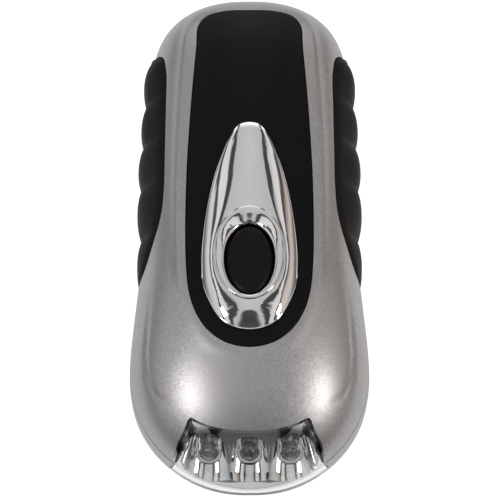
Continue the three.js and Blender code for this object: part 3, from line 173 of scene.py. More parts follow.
# Body form
def half_width(y, grow):
    end = HALF_LENGTH + grow
    waist = mix(WAIST_HALF, TAIL_HALF, (y - WAIST_START) / WAIST_RUN)
    half = mix(WIDE_HALF, waist, smooth((y - NOSE_START) / NARROWING)) + grow
    nose = cap_share((NOSE_START - y) / (end + NOSE_START), NOSE_POWER)
    return half * nose * cap_share((y - TAIL_START) / (end - TAIL_START), TAIL_POWER)


def crown(y, grow):
    end = HALF_LENGTH + grow
    nose = cap_share((CROWN_PEAK - y) / (end + CROWN_PEAK), NOSE_POWER)
    return (CROWN + grow) * nose * cap_share((y - CROWN_PEAK) / (end - CROWN_PEAK), CROWN_TAIL_POWER)


def belly(y, grow):
    end = HALF_LENGTH + grow
    nose = cap_share((NOSE_START - y) / (end + NOSE_START), BELLY_END_POWER)
    return (BELLY + grow) * nose * cap_share((y - BELLY_TAIL_START) / (end - BELLY_TAIL_START), BELLY_END_POWER)


def top_z(x, y, grow=0):
    return WIDEST + crown(y, grow) * cap_share(abs(x) / max(half_width(y, grow), TINY), TOP_POWER)


def side_x(y, z, grow):
    if z > WIDEST:
        return half_width(y, grow) * cap_share((z - WIDEST) / max(crown(y, grow), TINY), TOP_POWER)
    return half_width(y, grow) * cap_share((WIDEST - z) / max(belly(y, grow), TINY), BELLY_POWER)


def section_point(y, angle, grow):
    """A point of the body's section at y. Below the widest line the nose tucks back."""
    cosine, sine = math.cos(angle), math.sin(angle)
    power = 2 / TOP_POWER if sine > 0 else 2 / BELLY_POWER
    height = crown(y, grow) if sine > 0 else belly(y, grow)
    rise = height * math.copysign(abs(sine) ** power, sine)
    drop = min(max(-rise / TUCK_DROP, 0), 1)
    undercut = TUCK * math.sin(drop * math.pi / 2) * smooth((TUCK_START - y) / TUCK_RUN)
    out = half_width(y, grow) * math.copysign(abs(cosine) ** power, cosine)
    return Vector((out, y + undercut, WIDEST + rise))


# Outlines, as lists of flat points
def spline(points, count, steps=24):
    """A smooth closed line through the points, in count even steps."""
    points = [Vector(p) for p in points]
    fine = []
    for i in range(len(points)):
        p0, p1, p2, p3 = (points[(i + k - 1) % len(points)] for k in range(4))
        t1 = (p1 - p0).length ** 0.5
        t2 = t1 + (p2 - p1).length ** 0.5
        t3 = t2 + (p3 - p2).length ** 0.5
        for step in range(steps):
            t = t1 + (t2 - t1) * step / steps
            a1 = p0 * ((t1 - t) / t1) + p1 * (t / t1)
            a2 = p1 * ((t2 - t) / (t2 - t1)) + p2 * ((t - t1) / (t2 - t1))
            a3 = p2 * ((t3 - t) / (t3 - t2)) + p3 * ((t - t2) / (t3 - t2))
            b1 = a1 * ((t2 - t) / t2) + a2 * (t / t2)
            b2 = a2 * ((t3 - t) / (t3 - t1)) + a3 * ((t - t1) / (t3 - t1))
            fine.append(b1 * ((t2 - t) / (t2 - t1)) + b2 * ((t - t1) / (t2 - t1)))
    fine.append(fine[0])
    runs = [0]
    for a, b in zip(fine, fine[1:]):
        runs.append(runs[-1] + (b - a).length)
    even = np.linspace(0, runs[-1], count, endpoint=False)
    xs = np.interp(even, runs, [p.x for p in fine])
    ys = np.interp(even, runs, [p.y for p in fine])
    return [Vector((x, y)) for x, y in zip(xs, ys)]


def mirrored_outline(shares, width, front, rear, count):
    right = [(x * width, front + y * (rear - front)) for x, y in shares]
    left = [(-x, y) for x, y in reversed(right[1:-1])]
    return spline(right + left, count)


def grow_outline(points, grow):
    area = sum(a.x * b.y - a.y * b.x for a, b in zip(points, points[1:] + points[:1]))
    turn = math.copysign(grow, area)
    grown = []
    for i, point in enumerate(points):
        run = (points[(i + 1) % len(points)] - points[i - 1]).normalized()
        grown.append(Vector((point.x + turn * run.y, point.y - turn * run.x)))
    return grown


def ellipse(width, length, y, count):
    turns = [2 * math.pi * k / count for k in range(count)]
    return [Vector((width * math.sin(t), y + length * math.cos(t))) for t in turns]


def distances(places, outline):
    """How far each flat place lies outside the outline, negative inside it."""
    p = np.array([(q[0], q[1]) for q in places])[:, None, :]
    a = np.array([tuple(q) for q in outline])[None, :, :]
    b = np.roll(a, -1, axis=1)
    run = b - a
    share = np.clip(((p - a) * run).sum(2) / (run ** 2).sum(2), 0, 1)
    near = np.sqrt((((a + run * share[..., None]) - p) ** 2).sum(2)).min(1)
    spans = (a[..., 1] > p[..., 1]) != (b[..., 1] > p[..., 1])
    rise = np.where(run[..., 1] == 0, 1, run[..., 1])
    crossing = a[..., 0] + (p[..., 1] - a[..., 1]) / rise * run[..., 0]
    inside = (spans & (p[..., 0] < crossing)).sum(1) % 2 == 1
    return np.where(inside, -near, near)


panel_outline = mirrored_outline(PANEL_SHARES, PANEL_WIDTH, PANEL_FRONT, PANEL_REAR, 240)
bezel_outline = mirrored_outline(BEZEL_SHARES, BEZEL_WIDTH, BEZEL_FRONT, BEZEL_TIP, 192)
grip_outline = spline([
    (GRIP_FRONT + y * (GRIP_REAR - GRIP_FRONT), GRIP_BOTTOM + z * (GRIP_TOP - GRIP_BOTTOM))
    for y, z in GRIP_SHARES
], 260)


# Meshes
def lay_surface(place, across, along):
    """A grid with each corner moved to where place(u, v) puts it, welded where its edges meet."""
    bm = bmesh.new()
    bmesh.ops.create_grid(bm, x_segments=across, y_segments=along, size=1)
    for vert in bm.verts:
        vert.co = place((vert.co.x + 1) / 2, (vert.co.y + 1) / 2)
    bmesh.ops.remove_doubles(bm, verts=bm.verts, dist=WELD)
    bmesh.ops.recalc_face_normals(bm, faces=bm.faces)
    return bm


def lay_loops(loops):
    rows, count = len(loops) - 1, len(loops[0])
    return lay_surface(lambda u, v: loops[round(v * rows)][round(u * count) % count], count, rows)


def body_form(grow, across, along):
    end = HALF_LENGTH + grow
    return lay_surface(
        lambda u, v: section_point(-end * math.cos(math.pi * v), 2 * math.pi * u, grow), across, along,
    )


def towards(points, share, low, high):
    """The outline drawn in towards the line from low to high on the middle of the body."""
    return [Vector((0, min(max(p.y, low), high))).lerp(p, share) for p in points]


def on_top(points, rise):
    return [Vector((p.x, p.y, top_z(p.x, p.y, rise))) for p in points]


def at_height(points, z):
    return [Vector((p.x, p.y, z)) for p in points]


def turned(profile, sides=48):
    """The profile of (radius, height) spun round Z."""
    bm = bmesh.new()
    verts = [bm.verts.new((radius, 0, height)) for radius, height in profile]
    edges = [bm.edges.new(pair) for pair in zip(verts, verts[1:])]
    bmesh.ops.spin(
        bm, geom=verts + edges, cent=(0, 0, 0), axis=(0, 0, 1), angle=2 * math.pi, steps=sides, use_merge=True,
    )
    bmesh.ops.remove_doubles(bm, verts=bm.verts, dist=WELD)
    bmesh.ops.recalc_face_normals(bm, faces=bm.faces)
    return bm


def block(low, high):
    bm = bmesh.new()
    bmesh.ops.create_cube(bm, size=1)
    low, high = Vector(low), Vector(high)
    size = high - low
    bmesh.ops.scale(bm, verts=bm.verts, vec=size)
    bmesh.ops.translate(bm, verts=bm.verts, vec=(low + high) / 2)
    return bm


def rod(x, y, radius, low, high, sides=32):
    bm = bmesh.new()
    bmesh.ops.create_cone(
        bm, cap_ends=True, segments=sides, radius1=radius, radius2=radius, depth=high - low,
        matrix=Matrix.Translation((x, y, (low + high) / 2)),
    )
    return bm


def prism(points, low, high):
    """A straight block of the outline, from one height to another."""
    bm = bmesh.new()
    face = bm.faces.new([bm.verts.new((p[0], p[1], low)) for p in points])
    grown = bmesh.ops.extrude_face_region(bm, geom=[face])["geom"]
    lid = [v for v in grown if isinstance(v, bmesh.types.BMVert)]
    bmesh.ops.translate(bm, verts=lid, vec=(0, 0, high - low))
    bmesh.ops.recalc_face_normals(bm, faces=bm.faces)
    return bm


def round_edges(bm, edges, width, segments=4):
    bmesh.ops.bevel(
        bm, geom=edges, offset=width, segments=segments, profile=0.5, affect="EDGES", material=-1,
        clamp_overlap=True,
    )


def upright_edges(bm):
    return [e for e in bm.edges if abs((e.verts[0].co - e.verts[1].co).z) > 1]


def soften(bm, width, segments=3):
    """Rounds every edge that turns by more than 30 degrees."""
    shared = [e for e in bm.edges if len(e.link_faces) == 2]
    round_edges(bm, [e for e in shared if math.degrees(e.calc_face_angle()) > 30], width, segments)
    return bm


def move(bm, matrix):
    bmesh.ops.transform(bm, matrix=matrix, verts=bm.verts)
    return bm


FORWARD = Matrix.Rotation(math.pi / 2, 4, "X")
scratch = []


def new_object(name, data):
    added = bpy.data.objects.new(name, data)
    bpy.context.scene.collection.objects.link(added)
    return added


def hold(bm):
    """A passing object that another one is cut or joined with."""
    mesh = bpy.data.meshes.new("held")
    bm.to_mesh(mesh)
    bm.free()
    held = new_object("held", mesh)
    scratch.append(held)
    return held


def carve(bm, *steps):
    """Cuts, joins and keeps, in turn: each step is ("DIFFERENCE", bmesh) and so on."""
    base = hold(bm)
    for operation, tool in steps:
        modifier = base.modifiers.new("carve", "BOOLEAN")
        modifier.operation = operation
        modifier.solver = "EXACT"
        modifier.object = hold(tool)
    bpy.context.view_layer.update()
    mesh = bpy.data.meshes.new_from_object(base.evaluated_get(bpy.context.evaluated_depsgraph_get()))
    carved = bmesh.new()
    carved.from_mesh(mesh)
    bpy.data.meshes.remove(mesh)
    for held in scratch:
        left = held.data
        bpy.data.objects.remove(held)
        bpy.data.meshes.remove(left)
    scratch.clear()
    bmesh.ops.remove_doubles(carved, verts=carved.verts, dist=WELD)
    return carved


def cut(*tools):
    return [("DIFFERENCE", tool) for tool in tools]


class Skin:
    """A smooth form that lends its shading to what is carved out of it."""

    reach, match = 0.03, 0.9

    def __init__(self, *forms):
        self.forms = []
        for bm in forms:
            bm.normal_update()
            bm.faces.ensure_lookup_table()
            places = [[v.co.copy() for v in face.verts] for face in bm.faces]
            normals = [[v.normal.copy() for v in face.verts] for face in bm.faces]
            self.forms.append((BVHTree.FromBMesh(bm), places, normals))

    def shade(self, mesh):
        """A normal for each face corner, left at nought where the piece departs from the form."""
        wanted = [Vector((0, 0, 0))] * len(mesh.loops)
        for tree, places, normals in self.forms:
            found = {}
            for face in mesh.polygons:
                _, normal, _, away = tree.find_nearest(face.center)
                if away > self.reach or abs(normal.dot(face.normal)) < self.match:
                    continue
                side = math.copysign(1, normal.dot(face.normal))
                for loop in face.loop_indices:
                    corner = mesh.loops[loop].vertex_index
                    if corner not in found:
                        spot, _, index, _ = tree.find_nearest(mesh.vertices[corner].co)
                        shares = poly_3d_calc(places[index], spot)
                        blended = sum((n * s for n, s in zip(normals[index], shares)), Vector())
                        found[corner] = blended.normalized()
                    wanted[loop] = found[corner] * side
        return wanted


def make(name, bm, body, material, replaces=(), skin=None, sharp=35):
    """Turns a mesh in millimetres into a finished piece of the flashlight."""
    mesh = bpy.data.meshes.new(name)
    bm.to_mesh(mesh)
    bm.free()
    mesh.shade_smooth()
    mesh.set_sharp_from_angle(angle=math.radians(sharp))
    if skin:
        mesh.normals_split_custom_set(skin.shade(mesh))
    mesh.transform(Matrix.Scale(MM, 4))
    piece = new_object(name, mesh)
    mesh.materials.append(material)
    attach(piece, body)
    if replaces:
        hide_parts(*replaces)
    return piece


# Finishes
def group(name, inputs, outputs):
    tree = bpy.data.node_groups.new(name, "ShaderNodeTree")
    for title, kind, value in inputs:
        tree.interface.new_socket(name=title, in_out="INPUT", socket_type=kind).default_value = value
    for title, kind in outputs:
        tree.interface.new_socket(name=title, in_out="OUTPUT", socket_type=kind)
    return tree, tree.nodes.new("NodeGroupInput"), tree.nodes.new("NodeGroupOutput")


def add(tree, kind, **values):
    node = tree.nodes.new("ShaderNode" + kind)
    for key, value in values.items():
        setattr(node, key, value)
    return node


def give(node, **values):
    """Sets inputs of a node, each by its name with underscores for its spaces."""
    for socket, value in values.items():
        node.inputs[socket.replace("_", " ")].default_value = value


# Colour sockets of a Mix node
COLOR_A, COLOR_B, BLENDED = 6, 7, 2


def blend(tree, share, first, second, **values):
    """The colour that a share blends from two colours, each a socket or a plain colour."""
    node = add(tree, "Mix", data_type="RGBA", **values)
    for index, value in ((0, share), (COLOR_A, first), (COLOR_B, second)):
        if isinstance(value, bpy.types.NodeSocket):
            tree.links.new(value, node.inputs[index])
        else:
            node.inputs[index].default_value = value
    return node.outputs[BLENDED]


def number(tree, operation, first, second):
    node = add(tree, "Math", operation=operation)
    for socket, value in zip(node.inputs, (first, second)):
        if isinstance(value, bpy.types.NodeSocket):
            tree.links.new(value, socket)
        else:
            socket.default_value = value
    return node.outputs[0]


def moulded_grain():
    """Fine unevenness of a moulded or cast surface, and its slow patches."""
    tree, given, made = group(
        "moulded_grain",
        [("Scale", "NodeSocketFloat", 2500), ("Height", "NodeSocketFloat", 0.00001)],
        [("Normal", "NodeSocketVector"), ("Patches", "NodeSocketFloat")],
    )
    place = add(tree, "TexCoord")
    fine = add(tree, "TexNoise")
    give(fine, Detail=3)
    slow = add(tree, "TexNoise")
    give(slow, Scale=70, Detail=4)
    bump = add(tree, "Bump")
    give(bump, Strength=1)
    tree.links.new(place.outputs["Object"], fine.inputs["Vector"])
    tree.links.new(place.outputs["Object"], slow.inputs["Vector"])
    tree.links.new(given.outputs["Scale"], fine.inputs["Scale"])
    tree.links.new(fine.outputs["Fac"], bump.inputs["Height"])
    tree.links.new(given.outputs["Height"], bump.inputs["Distance"])
    tree.links.new(bump.outputs["Normal"], made.inputs["Normal"])
    tree.links.new(slow.outputs["Fac"], made.inputs["Patches"])
    return tree


def metal_flakes():
    """Small tilted flakes in a paint: each has its own lightness and direction."""
    tree, given, made = group(
        "metal_flakes",
        [("Tilt", "NodeSocketFloat", 0.1)],
        [("Lightness", "NodeSocketFloat"), ("Normal", "NodeSocketVector")],
    )
    place = add(tree, "TexCoord")
    cells = add(tree, "TexVoronoi", feature="F1")
    give(cells, Scale=5200)
    middle = add(tree, "VectorMath", operation="SUBTRACT")
    middle.inputs[1].default_value = (0.5, 0.5, 0.5)
    tilt = add(tree, "VectorMath", operation="SCALE")
    shape = add(tree, "NewGeometry")
    lean = add(tree, "VectorMath", operation="ADD")
    unit = add(tree, "VectorMath", operation="NORMALIZE")
    parts = add(tree, "SeparateXYZ")
    tree.links.new(place.outputs["Object"], cells.inputs["Vector"])
    tree.links.new(cells.outputs["Color"], middle.inputs[0])
    tree.links.new(middle.outputs[0], tilt.inputs[0])
    tree.links.new(given.outputs["Tilt"], tilt.inputs["Scale"])
    tree.links.new(shape.outputs["Normal"], lean.inputs[0])
    tree.links.new(tilt.outputs[0], lean.inputs[1])
    tree.links.new(lean.outputs[0], unit.inputs[0])
    tree.links.new(cells.outputs["Color"], parts.inputs[0])
    tree.links.new(parts.outputs["X"], made.inputs["Lightness"])
    tree.links.new(unit.outputs[0], made.inputs["Normal"])
    return tree


grain_group = moulded_grain()
flake_group = metal_flakes()


def blank(name):
    material = bpy.data.materials.new(name)
    material.use_nodes = True
    return material, material.node_tree, material.node_tree.nodes["Principled BSDF"]


def finish(name, color, roughness, metallic=0, grain=(2500, 0.000004), shade=None, uneven=0.06, **sockets):
    """A finish whose colour and gloss drift a little over the surface."""
    material, tree, shader = blank(name)
    give(shader, Metallic=metallic, **sockets)
    grained = add(tree, "Group", node_tree=grain_group)
    scale, height = grain
    give(grained, Scale=scale, Height=height)
    patches = grained.outputs["Patches"]
    tree.links.new(grained.outputs["Normal"], shader.inputs["Normal"])
    darker = shade or [c * 0.8 for c in color]
    tree.links.new(blend(tree, patches, (*color, 1), (*darker, 1)), shader.inputs["Base Color"])
    gloss = add(tree, "MapRange")
    give(gloss, From_Min=0.3, From_Max=0.7, To_Min=max(roughness - uneven, 0), To_Max=roughness + uneven)
    tree.links.new(patches, gloss.inputs["Value"])
    tree.links.new(gloss.outputs["Result"], shader.inputs["Roughness"])
    return material


def silver_paint():
    material, tree, shader = blank("silver_paint")
    give(shader, Metallic=0.85, Roughness=0.38)
    flakes = add(tree, "Group", node_tree=flake_group)
    give(flakes, Tilt=0.06)
    tree.links.new(flakes.outputs["Normal"], shader.inputs["Normal"])
    paint = blend(tree, flakes.outputs["Lightness"], (0.305, 0.295, 0.291, 1), (0.43, 0.418, 0.414, 1))
    tree.links.new(paint, shader.inputs["Base Color"])
    return material


silver = silver_paint()
black_satin = finish(
    "black_satin", (0.0036, 0.0034, 0.0034), 0.38, grain=(1600, 0.000006), uneven=0.05, Specular_IOR_Level=0.1,
)
rubber = finish(
    "rubber", (0.0115, 0.0098, 0.0086), 0.56, grain=(3200, 0.00002), uneven=0.06, Specular_IOR_Level=0.08,
)
chrome = finish("chrome", (0.74, 0.735, 0.73), 0.045, metallic=1, grain=(260, 0.000003), uneven=0.015)
clear = finish(
    "clear_plastic", (0.97, 0.98, 0.98), 0.02, grain=(900, 0.0000005), uneven=0.01,
    Transmission_Weight=1.0, IOR=1.49,
)
resin = finish(
    "lamp_resin", (0.92, 0.92, 0.9), 0.03, grain=(900, 0.0000005), uneven=0.01,
    Transmission_Weight=0.92, IOR=1.5,
)
plated = finish("plated_reflector", (0.93, 0.93, 0.93), 0.03, metallic=1, grain=(420, 0.000004), uneven=0.01)
black_plastic = finish(
    "black_plastic", (0.0045, 0.0042, 0.004), 0.42, grain=(2200, 0.00001), Specular_IOR_Level=0.12,
)
nylon = finish("nylon", (0.72, 0.7, 0.62), 0.45, grain=(1800, 0.000006))
steel = finish("steel", (0.42, 0.43, 0.44), 0.28, metallic=1, grain=(1500, 0.000004))
brass = finish("brass", (0.6, 0.42, 0.16), 0.32, metallic=1)
copper = finish("copper", (0.55, 0.2, 0.09), 0.35, metallic=1, grain=(3200, 0.00004))
magnet = finish("magnet", (0.05, 0.05, 0.055), 0.5, metallic=0.4, grain=(2600, 0.00001))
board_green = finish("board", (0.015, 0.14, 0.05), 0.35, shade=(0.01, 0.09, 0.03))
sleeve = finish("sleeve", (0.04, 0.2, 0.07), 0.3)
red_lead = finish("red_lead", (0.4, 0.015, 0.012), 0.4)
black_lead = finish("black_lead", (0.012, 0.012, 0.012), 0.4)
diode = finish("diode", (0.75, 0.68, 0.3), 0.5)

slot_finishes = {
    "silver_paint": silver, "black_satin": black_satin, "rubber": rubber, "chrome": chrome,
    "clear_plastic": clear, "lamp_resin": resin, "black_plastic": black_plastic, "nylon": nylon,
    "steel": steel, "brass": brass, "copper": copper, "magnet": magnet, "board": board_green,
    "sleeve": sleeve, "red_lead": red_lead, "black_lead": black_lead,
}
for entry in frame["record"]["subparts"]:
    node = frame["nodes"][entry["node"]]
    node.data.materials.clear()
    node.data.materials.append(slot_finishes[entry["material_slot"]])


# Outer form of the body: a slightly raised band round the panel, and a soft crease along each fender
BAND_MARKS = [
    (0, -39.1), (5.4, -38.1), (10.1, -35.3), (13.5, -30), (16, -22), (17.4, -9), (17.8, 6),
    (17.7, 18), (17.4, 30), (16.9, 42), (16, 53), (14, 60), (9.6, 64.2), (0, 65.4),
]
CREASE_MARKS = [(-24.4, -18), (-25.1, -27), (-25.6, -36), (-25, -42), (-22.8, -47), (-19.5, -49.5)]
CREASE_DEPTH, CREASE_WIDTH, CREASE_FADE = 0.19, 0.6, 0.3
BAND_LIFT, BAND_MORE_LIFT, BAND_FADE = 0.1, 0.55, 3.4
BAND_FRONT, BAND_FRONT_RUN, BAND_REAR, BAND_REAR_RUN = -32, 24, 50, 16
SHOULDER = WIDEST + 4
band_outline = spline(BAND_MARKS + [(-x, y) for x, y in reversed(BAND_MARKS[1:-1])], 240)


def crease_depth(places):
    """How deep the fender crease is at each place: it fades out at both ends."""
    depths = np.zeros(len(places))
    points = np.array([(-abs(p[0]), p[1]) for p in places])
    for i, (a, b) in enumerate(zip(CREASE_MARKS, CREASE_MARKS[1:])):
        start, run = np.array(a), np.array(b) - np.array(a)
        share = np.clip(((points - start) @ run) / (run @ run), 0, 1)
        gap = np.linalg.norm(start + share[:, None] * run - points, axis=1)
        way = (i + share) / (len(CREASE_MARKS) - 1)
        fade = np.clip(np.minimum(way, 1 - way) / CREASE_FADE, 0, 1)
        depths = np.maximum(depths, CREASE_DEPTH * fade * np.exp(-(gap / CREASE_WIDTH) ** 2))
    return depths


def outer_form():
    bm = body_form(0, 320, 260)
    bm.normal_update()
    top = [v for v in bm.verts if v.co.z > SHOULDER]
    places = [v.co for v in top]
    from_panel = distances(places, panel_outline)
    from_band = distances(places, band_outline)
    creases = crease_depth(places)
    for vert, near, far, crease in zip(top, from_panel, from_band, creases):
        front = smooth((vert.co.y - BAND_FRONT) / BAND_FRONT_RUN)
        rear = smooth((vert.co.y - BAND_REAR) / BAND_REAR_RUN)
        height = (BAND_LIFT + BAND_MORE_LIFT * front) * (1 - rear)
        if far < 0:
            lift = height * min(max(near, 0) / (max(near, 0) - far), 1)
        else:
            lift = height * (1 - smooth(far / BAND_FADE)) ** 1.5
        vert.co += vert.normal * (lift - crease)
    return bm


outer = outer_form()
outer_skin = Skin(outer)


def half_of(bm, above):
    """The part of a closed form above or below the parting gap, closed again."""
    z = SEAM + (GAP / 2 if above else -GAP / 2)
    bm = bm.copy()
    bmesh.ops.bisect_plane(
        bm, geom=bm.verts[:] + bm.edges[:] + bm.faces[:], plane_co=(0, 0, z), plane_no=(0, 0, 1),
        clear_inner=above, clear_outer=not above,
    )
    rim = [e for e in bm.edges if e.is_boundary]
    bmesh.ops.edgenet_fill(bm, edges=rim)
    bmesh.ops.recalc_face_normals(bm, faces=bm.faces)
    return bm


def panel_recess():
    steps = [
        (RECESS_DEPTH, GAP), (0.1, GAP), (-0.12, 0.34), (-0.24, 0.44), (-0.3, 0.6), (-1, 0.62),
    ]
    inner, outermost = grow_outline(panel_outline, GAP), grow_outline(panel_outline, steps[-1][1])
    floor = [on_top(towards(inner, k / 8, *PANEL_LINE), -RECESS_DEPTH) for k in range(8)]
    walls = [on_top(grow_outline(panel_outline, grow), -depth) for depth, grow in steps]
    lid = [at_height(towards(outermost, share, *PANEL_LINE), ABOVE) for share in (1, 0)]
    return lay_loops(floor + walls + lid)


def button_passage():
    return prism(ellipse(HOLE_WIDTH, HOLE_LENGTH, BUTTON_Y, 96), PASSAGE_BOTTOM, ABOVE)


def grip_surface(y, z, side, grow):
    return Vector((side * side_x(y, z, grow), y, z))


def drawn(outline, share):
    """The side outline drawn in towards its middle line."""
    front, rear, height = GRIP_LINE
    return [Vector((min(max(p.x, front), rear), height)).lerp(p, share) for p in outline]


def grip_recess(side):
    outline = grow_outline(grip_outline, GAP)
    loops = [[grip_surface(p.x, p.y, side, -RECESS_DEPTH) for p in drawn(outline, k / 8)] for k in range(8)]
    for depth, grow in [(RECESS_DEPTH, 0), (0.35, 0), (0.12, 0.06), (0, 0.2), (-0.1, 0.5)]:
        loops.append([grip_surface(p.x, p.y, side, -depth) for p in grow_outline(outline, grow)])
    mouth = grow_outline(outline, 0.5)
    for share in (1, 0):
        loops.append([Vector((side * GRIP_CUT_REACH, p.x, p.y)) for p in drawn(mouth, share)])
    return lay_loops(loops)


def lens_prism(grow, rear):
    """The lens outline seen from the front, with rounded corners, run from rear to far in front."""
    right = [Vector(corner) for corner in LENS_CORNERS]
    corners = right + [Vector((-x, z)) for x, z in reversed(right)]
    grown = []
    for i, corner in enumerate(corners):
        before = (corner - corners[i - 1]).normalized()
        after = (corners[(i + 1) % len(corners)] - corner).normalized()
        before, after = Vector((before.y, -before.x)), Vector((after.y, -after.x))
        grown.append(corner + (before + after) * grow / (1 + before.dot(after)))
    bm = prism(grown, 0, rear - LENS_FRONT)
    round_edges(bm, upright_edges(bm), LENS_CORNER_RADIUS)
    return move(bm, Matrix.Translation((0, rear, 0)) @ FORWARD)


# Upper shell
cavity = body_form(-SHELL_WALL, 96, 96)
upper = carve(
    half_of(outer, True),
    *cut(cavity.copy(), panel_recess(), button_passage(), grip_recess(-1), grip_recess(1)),
    *cut(lens_prism(GAP, LENS_REAR)),
)
make("upper_shell_skin", upper, "root", silver, ["upper_shell"], outer_skin)


# Lower shell with its arch and feet
def arch_box(wall, fillet):
    front, rear = HUB_Y - ARCH_REACH - wall, HUB_Y + ARCH_REACH + wall
    bm = block((-OUTSIDE, front, -20), (OUTSIDE, rear, ARCH_HEIGHT + wall))
    roof = [e for e in bm.edges if all(v.co.z > 0 for v in e.verts)]
    round_edges(bm, [e for e in roof if abs(e.verts[0].co.x - e.verts[1].co.x) > 1], fillet)
    return bm


def lower_shell():
    bosses = [rod(x, y, BOSS_RADIUS, -5, 30) for x, y in SCREWS]
    hollow = carve(half_of(cavity, False), *cut(arch_box(SHELL_WALL, HOLLOW_FILLET), *bosses))
    move(hollow, Matrix.Translation((0, 0, HOLLOW_LIFT)))
    wells = [rod(x, y, WELL_RADIUS, -5, WELL_TOP) for x, y in SCREWS]
    holes = [rod(x, y, HOLE_RADIUS, 3, 25) for x, y in SCREWS]
    floor = block((-OUTSIDE, -OUTSIDE, -30), (OUTSIDE, OUTSIDE, 0))
    return carve(
        half_of(outer, False),
        *cut(hollow, arch_box(0, ARCH_FILLET), floor, grip_recess(-1), grip_recess(1)),
        *cut(lens_prism(GAP, LENS_REAR), rod(0, HUB_Y, HUB_HOLE, 0, 20), *wells, *holes),
    )


make("lower_shell_skin", lower_shell(), "root", silver, ["lower_shell"], outer_skin)


# Top panel: satin tongue with a rounded edge, dished a little round the bezel
def panel():
    steps = [(PANEL_WALL, 0), (0.2, 0), (0.07, -0.05), (0.02, -0.13), (0, -PANEL_INSET)]
    under = [on_top(towards(panel_outline, k / 12, *PANEL_LINE), -PANEL_WALL) for k in range(12)]
    walls = [on_top(grow_outline(panel_outline, grow), -depth) for depth, grow in steps]
    inset = grow_outline(panel_outline, -PANEL_INSET)
    skin = []
    for k in range(1, 45):
        points = towards(inset, 1 - k / 44, *PANEL_LINE)
        gaps = distances(points, bezel_outline)
        dishes = [DISH_DEPTH * (1 - smooth((gap - DISH_RUN) / DISH_RUN)) for gap in gaps]
        skin.append([Vector((p.x, p.y, top_z(p.x, p.y) - dish)) for p, dish in zip(points, dishes)])
    return lay_loops(under + walls + skin)


def bezel_seat():
    outline = grow_outline(bezel_outline, GAP)
    floor = [on_top(towards(outline, k / 6, *BEZEL_LINE), -BEZEL_SEAT) for k in range(6)]
    lid = [at_height(towards(outline, share, *BEZEL_LINE), ABOVE) for share in (1, 0)]
    return lay_loops(floor + [on_top(outline, -BEZEL_SEAT), on_top(outline, 3)] + lid)


top_panel = carve(panel(), *cut(bezel_seat(), button_passage()))
make("top_panel_skin", top_panel, "root", black_satin, ["top_panel"], Skin(panel()))


# Bezel: a thin rolled rim, a long dome with a fuller lobe in front, and a funnel round the button
def bezel():
    def on_ellipse(p, width, length, y):
        angle = math.atan2((p.y - BUTTON_Y) / length, p.x / width)
        return Vector((width * math.cos(angle), y + length * math.sin(angle)))

    crease = [on_ellipse(p, CREST_WIDTH, CREST_LENGTH, CREST_Y) for p in bezel_outline]
    hole = [on_ellipse(p, HOLE_WIDTH, HOLE_LENGTH, BUTTON_Y) for p in bezel_outline]

    def ring(start, end, share, rise):
        points = [a.lerp(b, share) for a, b in zip(start, end)]
        rises = rise if isinstance(rise, list) else [rise] * len(points)
        return [Vector((p.x, p.y, top_z(p.x, p.y) + height)) for p, height in zip(points, rises)]

    def rim(inset, rise):
        return ring(grow_outline(bezel_outline, -inset), crease, 0, rise)

    def front_rise(p, share, plain):
        """The dome's rise, fuller ahead of the button and flattened at the very front."""
        ahead, aside = min(p.y - BEZEL_FRONT - FRONT_STEP, FRONT_REACH), min(abs(p.x), FRONT_HALF)
        lobe = FLANGE_RISE + DOME_RISE * (2.41 * share - 1.41 * share ** 2)
        flattened = FRONT_BASE + FRONT_SLOPE * ahead - FRONT_CURVE * ahead ** 2 - FRONT_SIDE_CURVE * aside ** 2
        part = 4 * share * (1 - share) * smooth((-20 - p.y) / 9) * (1 - smooth((abs(p.x) - 3) / 6))
        return mix(mix(plain, lobe, smooth((-11 - p.y) / 14)), flattened, part)

    flange = grow_outline(bezel_outline, -FLANGE_INSET)
    loops = [ring(bezel_outline, crease, 0, BEZEL_SKIRT), ring(bezel_outline, crease, 0, 0.2)]
    loops += [rim(inset, rise) for inset, rise in [(0.04, 0.3), (0.2, 0.4), (0.44, 0.48), (FLANGE_INSET, 0.42)]]
    for k in range(1, 41):
        share = k / 40
        tail = 0.5 * cap_share(1 - share, 2.4) + 0.5 * math.sin(share * math.pi / 2)
        loops.append(ring(flange, crease, share, [
            front_rise(a.lerp(b, share), share, FLANGE_RISE + DOME_RISE * tail) for a, b in zip(flange, crease)
        ]))
    funnel = [smooth((p.y - CREST_Y) / CREST_LENGTH - 0.1) for p in crease]
    steps = [(0.02, 1.93), (0.06, 2.08), (0.12, 2.18), (0.2, 2.22), (0.35, 2.2), (0.5, 2.16), (0.65, 2.11)]
    steps += [(0.78, 2.05), (0.87, 1.96), (0.93, 1.83), (0.97, 1.64), (1, 1.35)]
    for share, rise in steps:
        sink = smooth((share - 0.05) / 0.9)
        loops.append(ring(crease, hole, share, [rise - part * sink for part in funnel]))
    loops.append(ring(crease, hole, 1, BEZEL_SKIRT))
    loops.append(loops[0])
    return lay_loops(loops)


make("chrome_bezel_skin", bezel(), "root", chrome, ["chrome_bezel"], sharp=50)


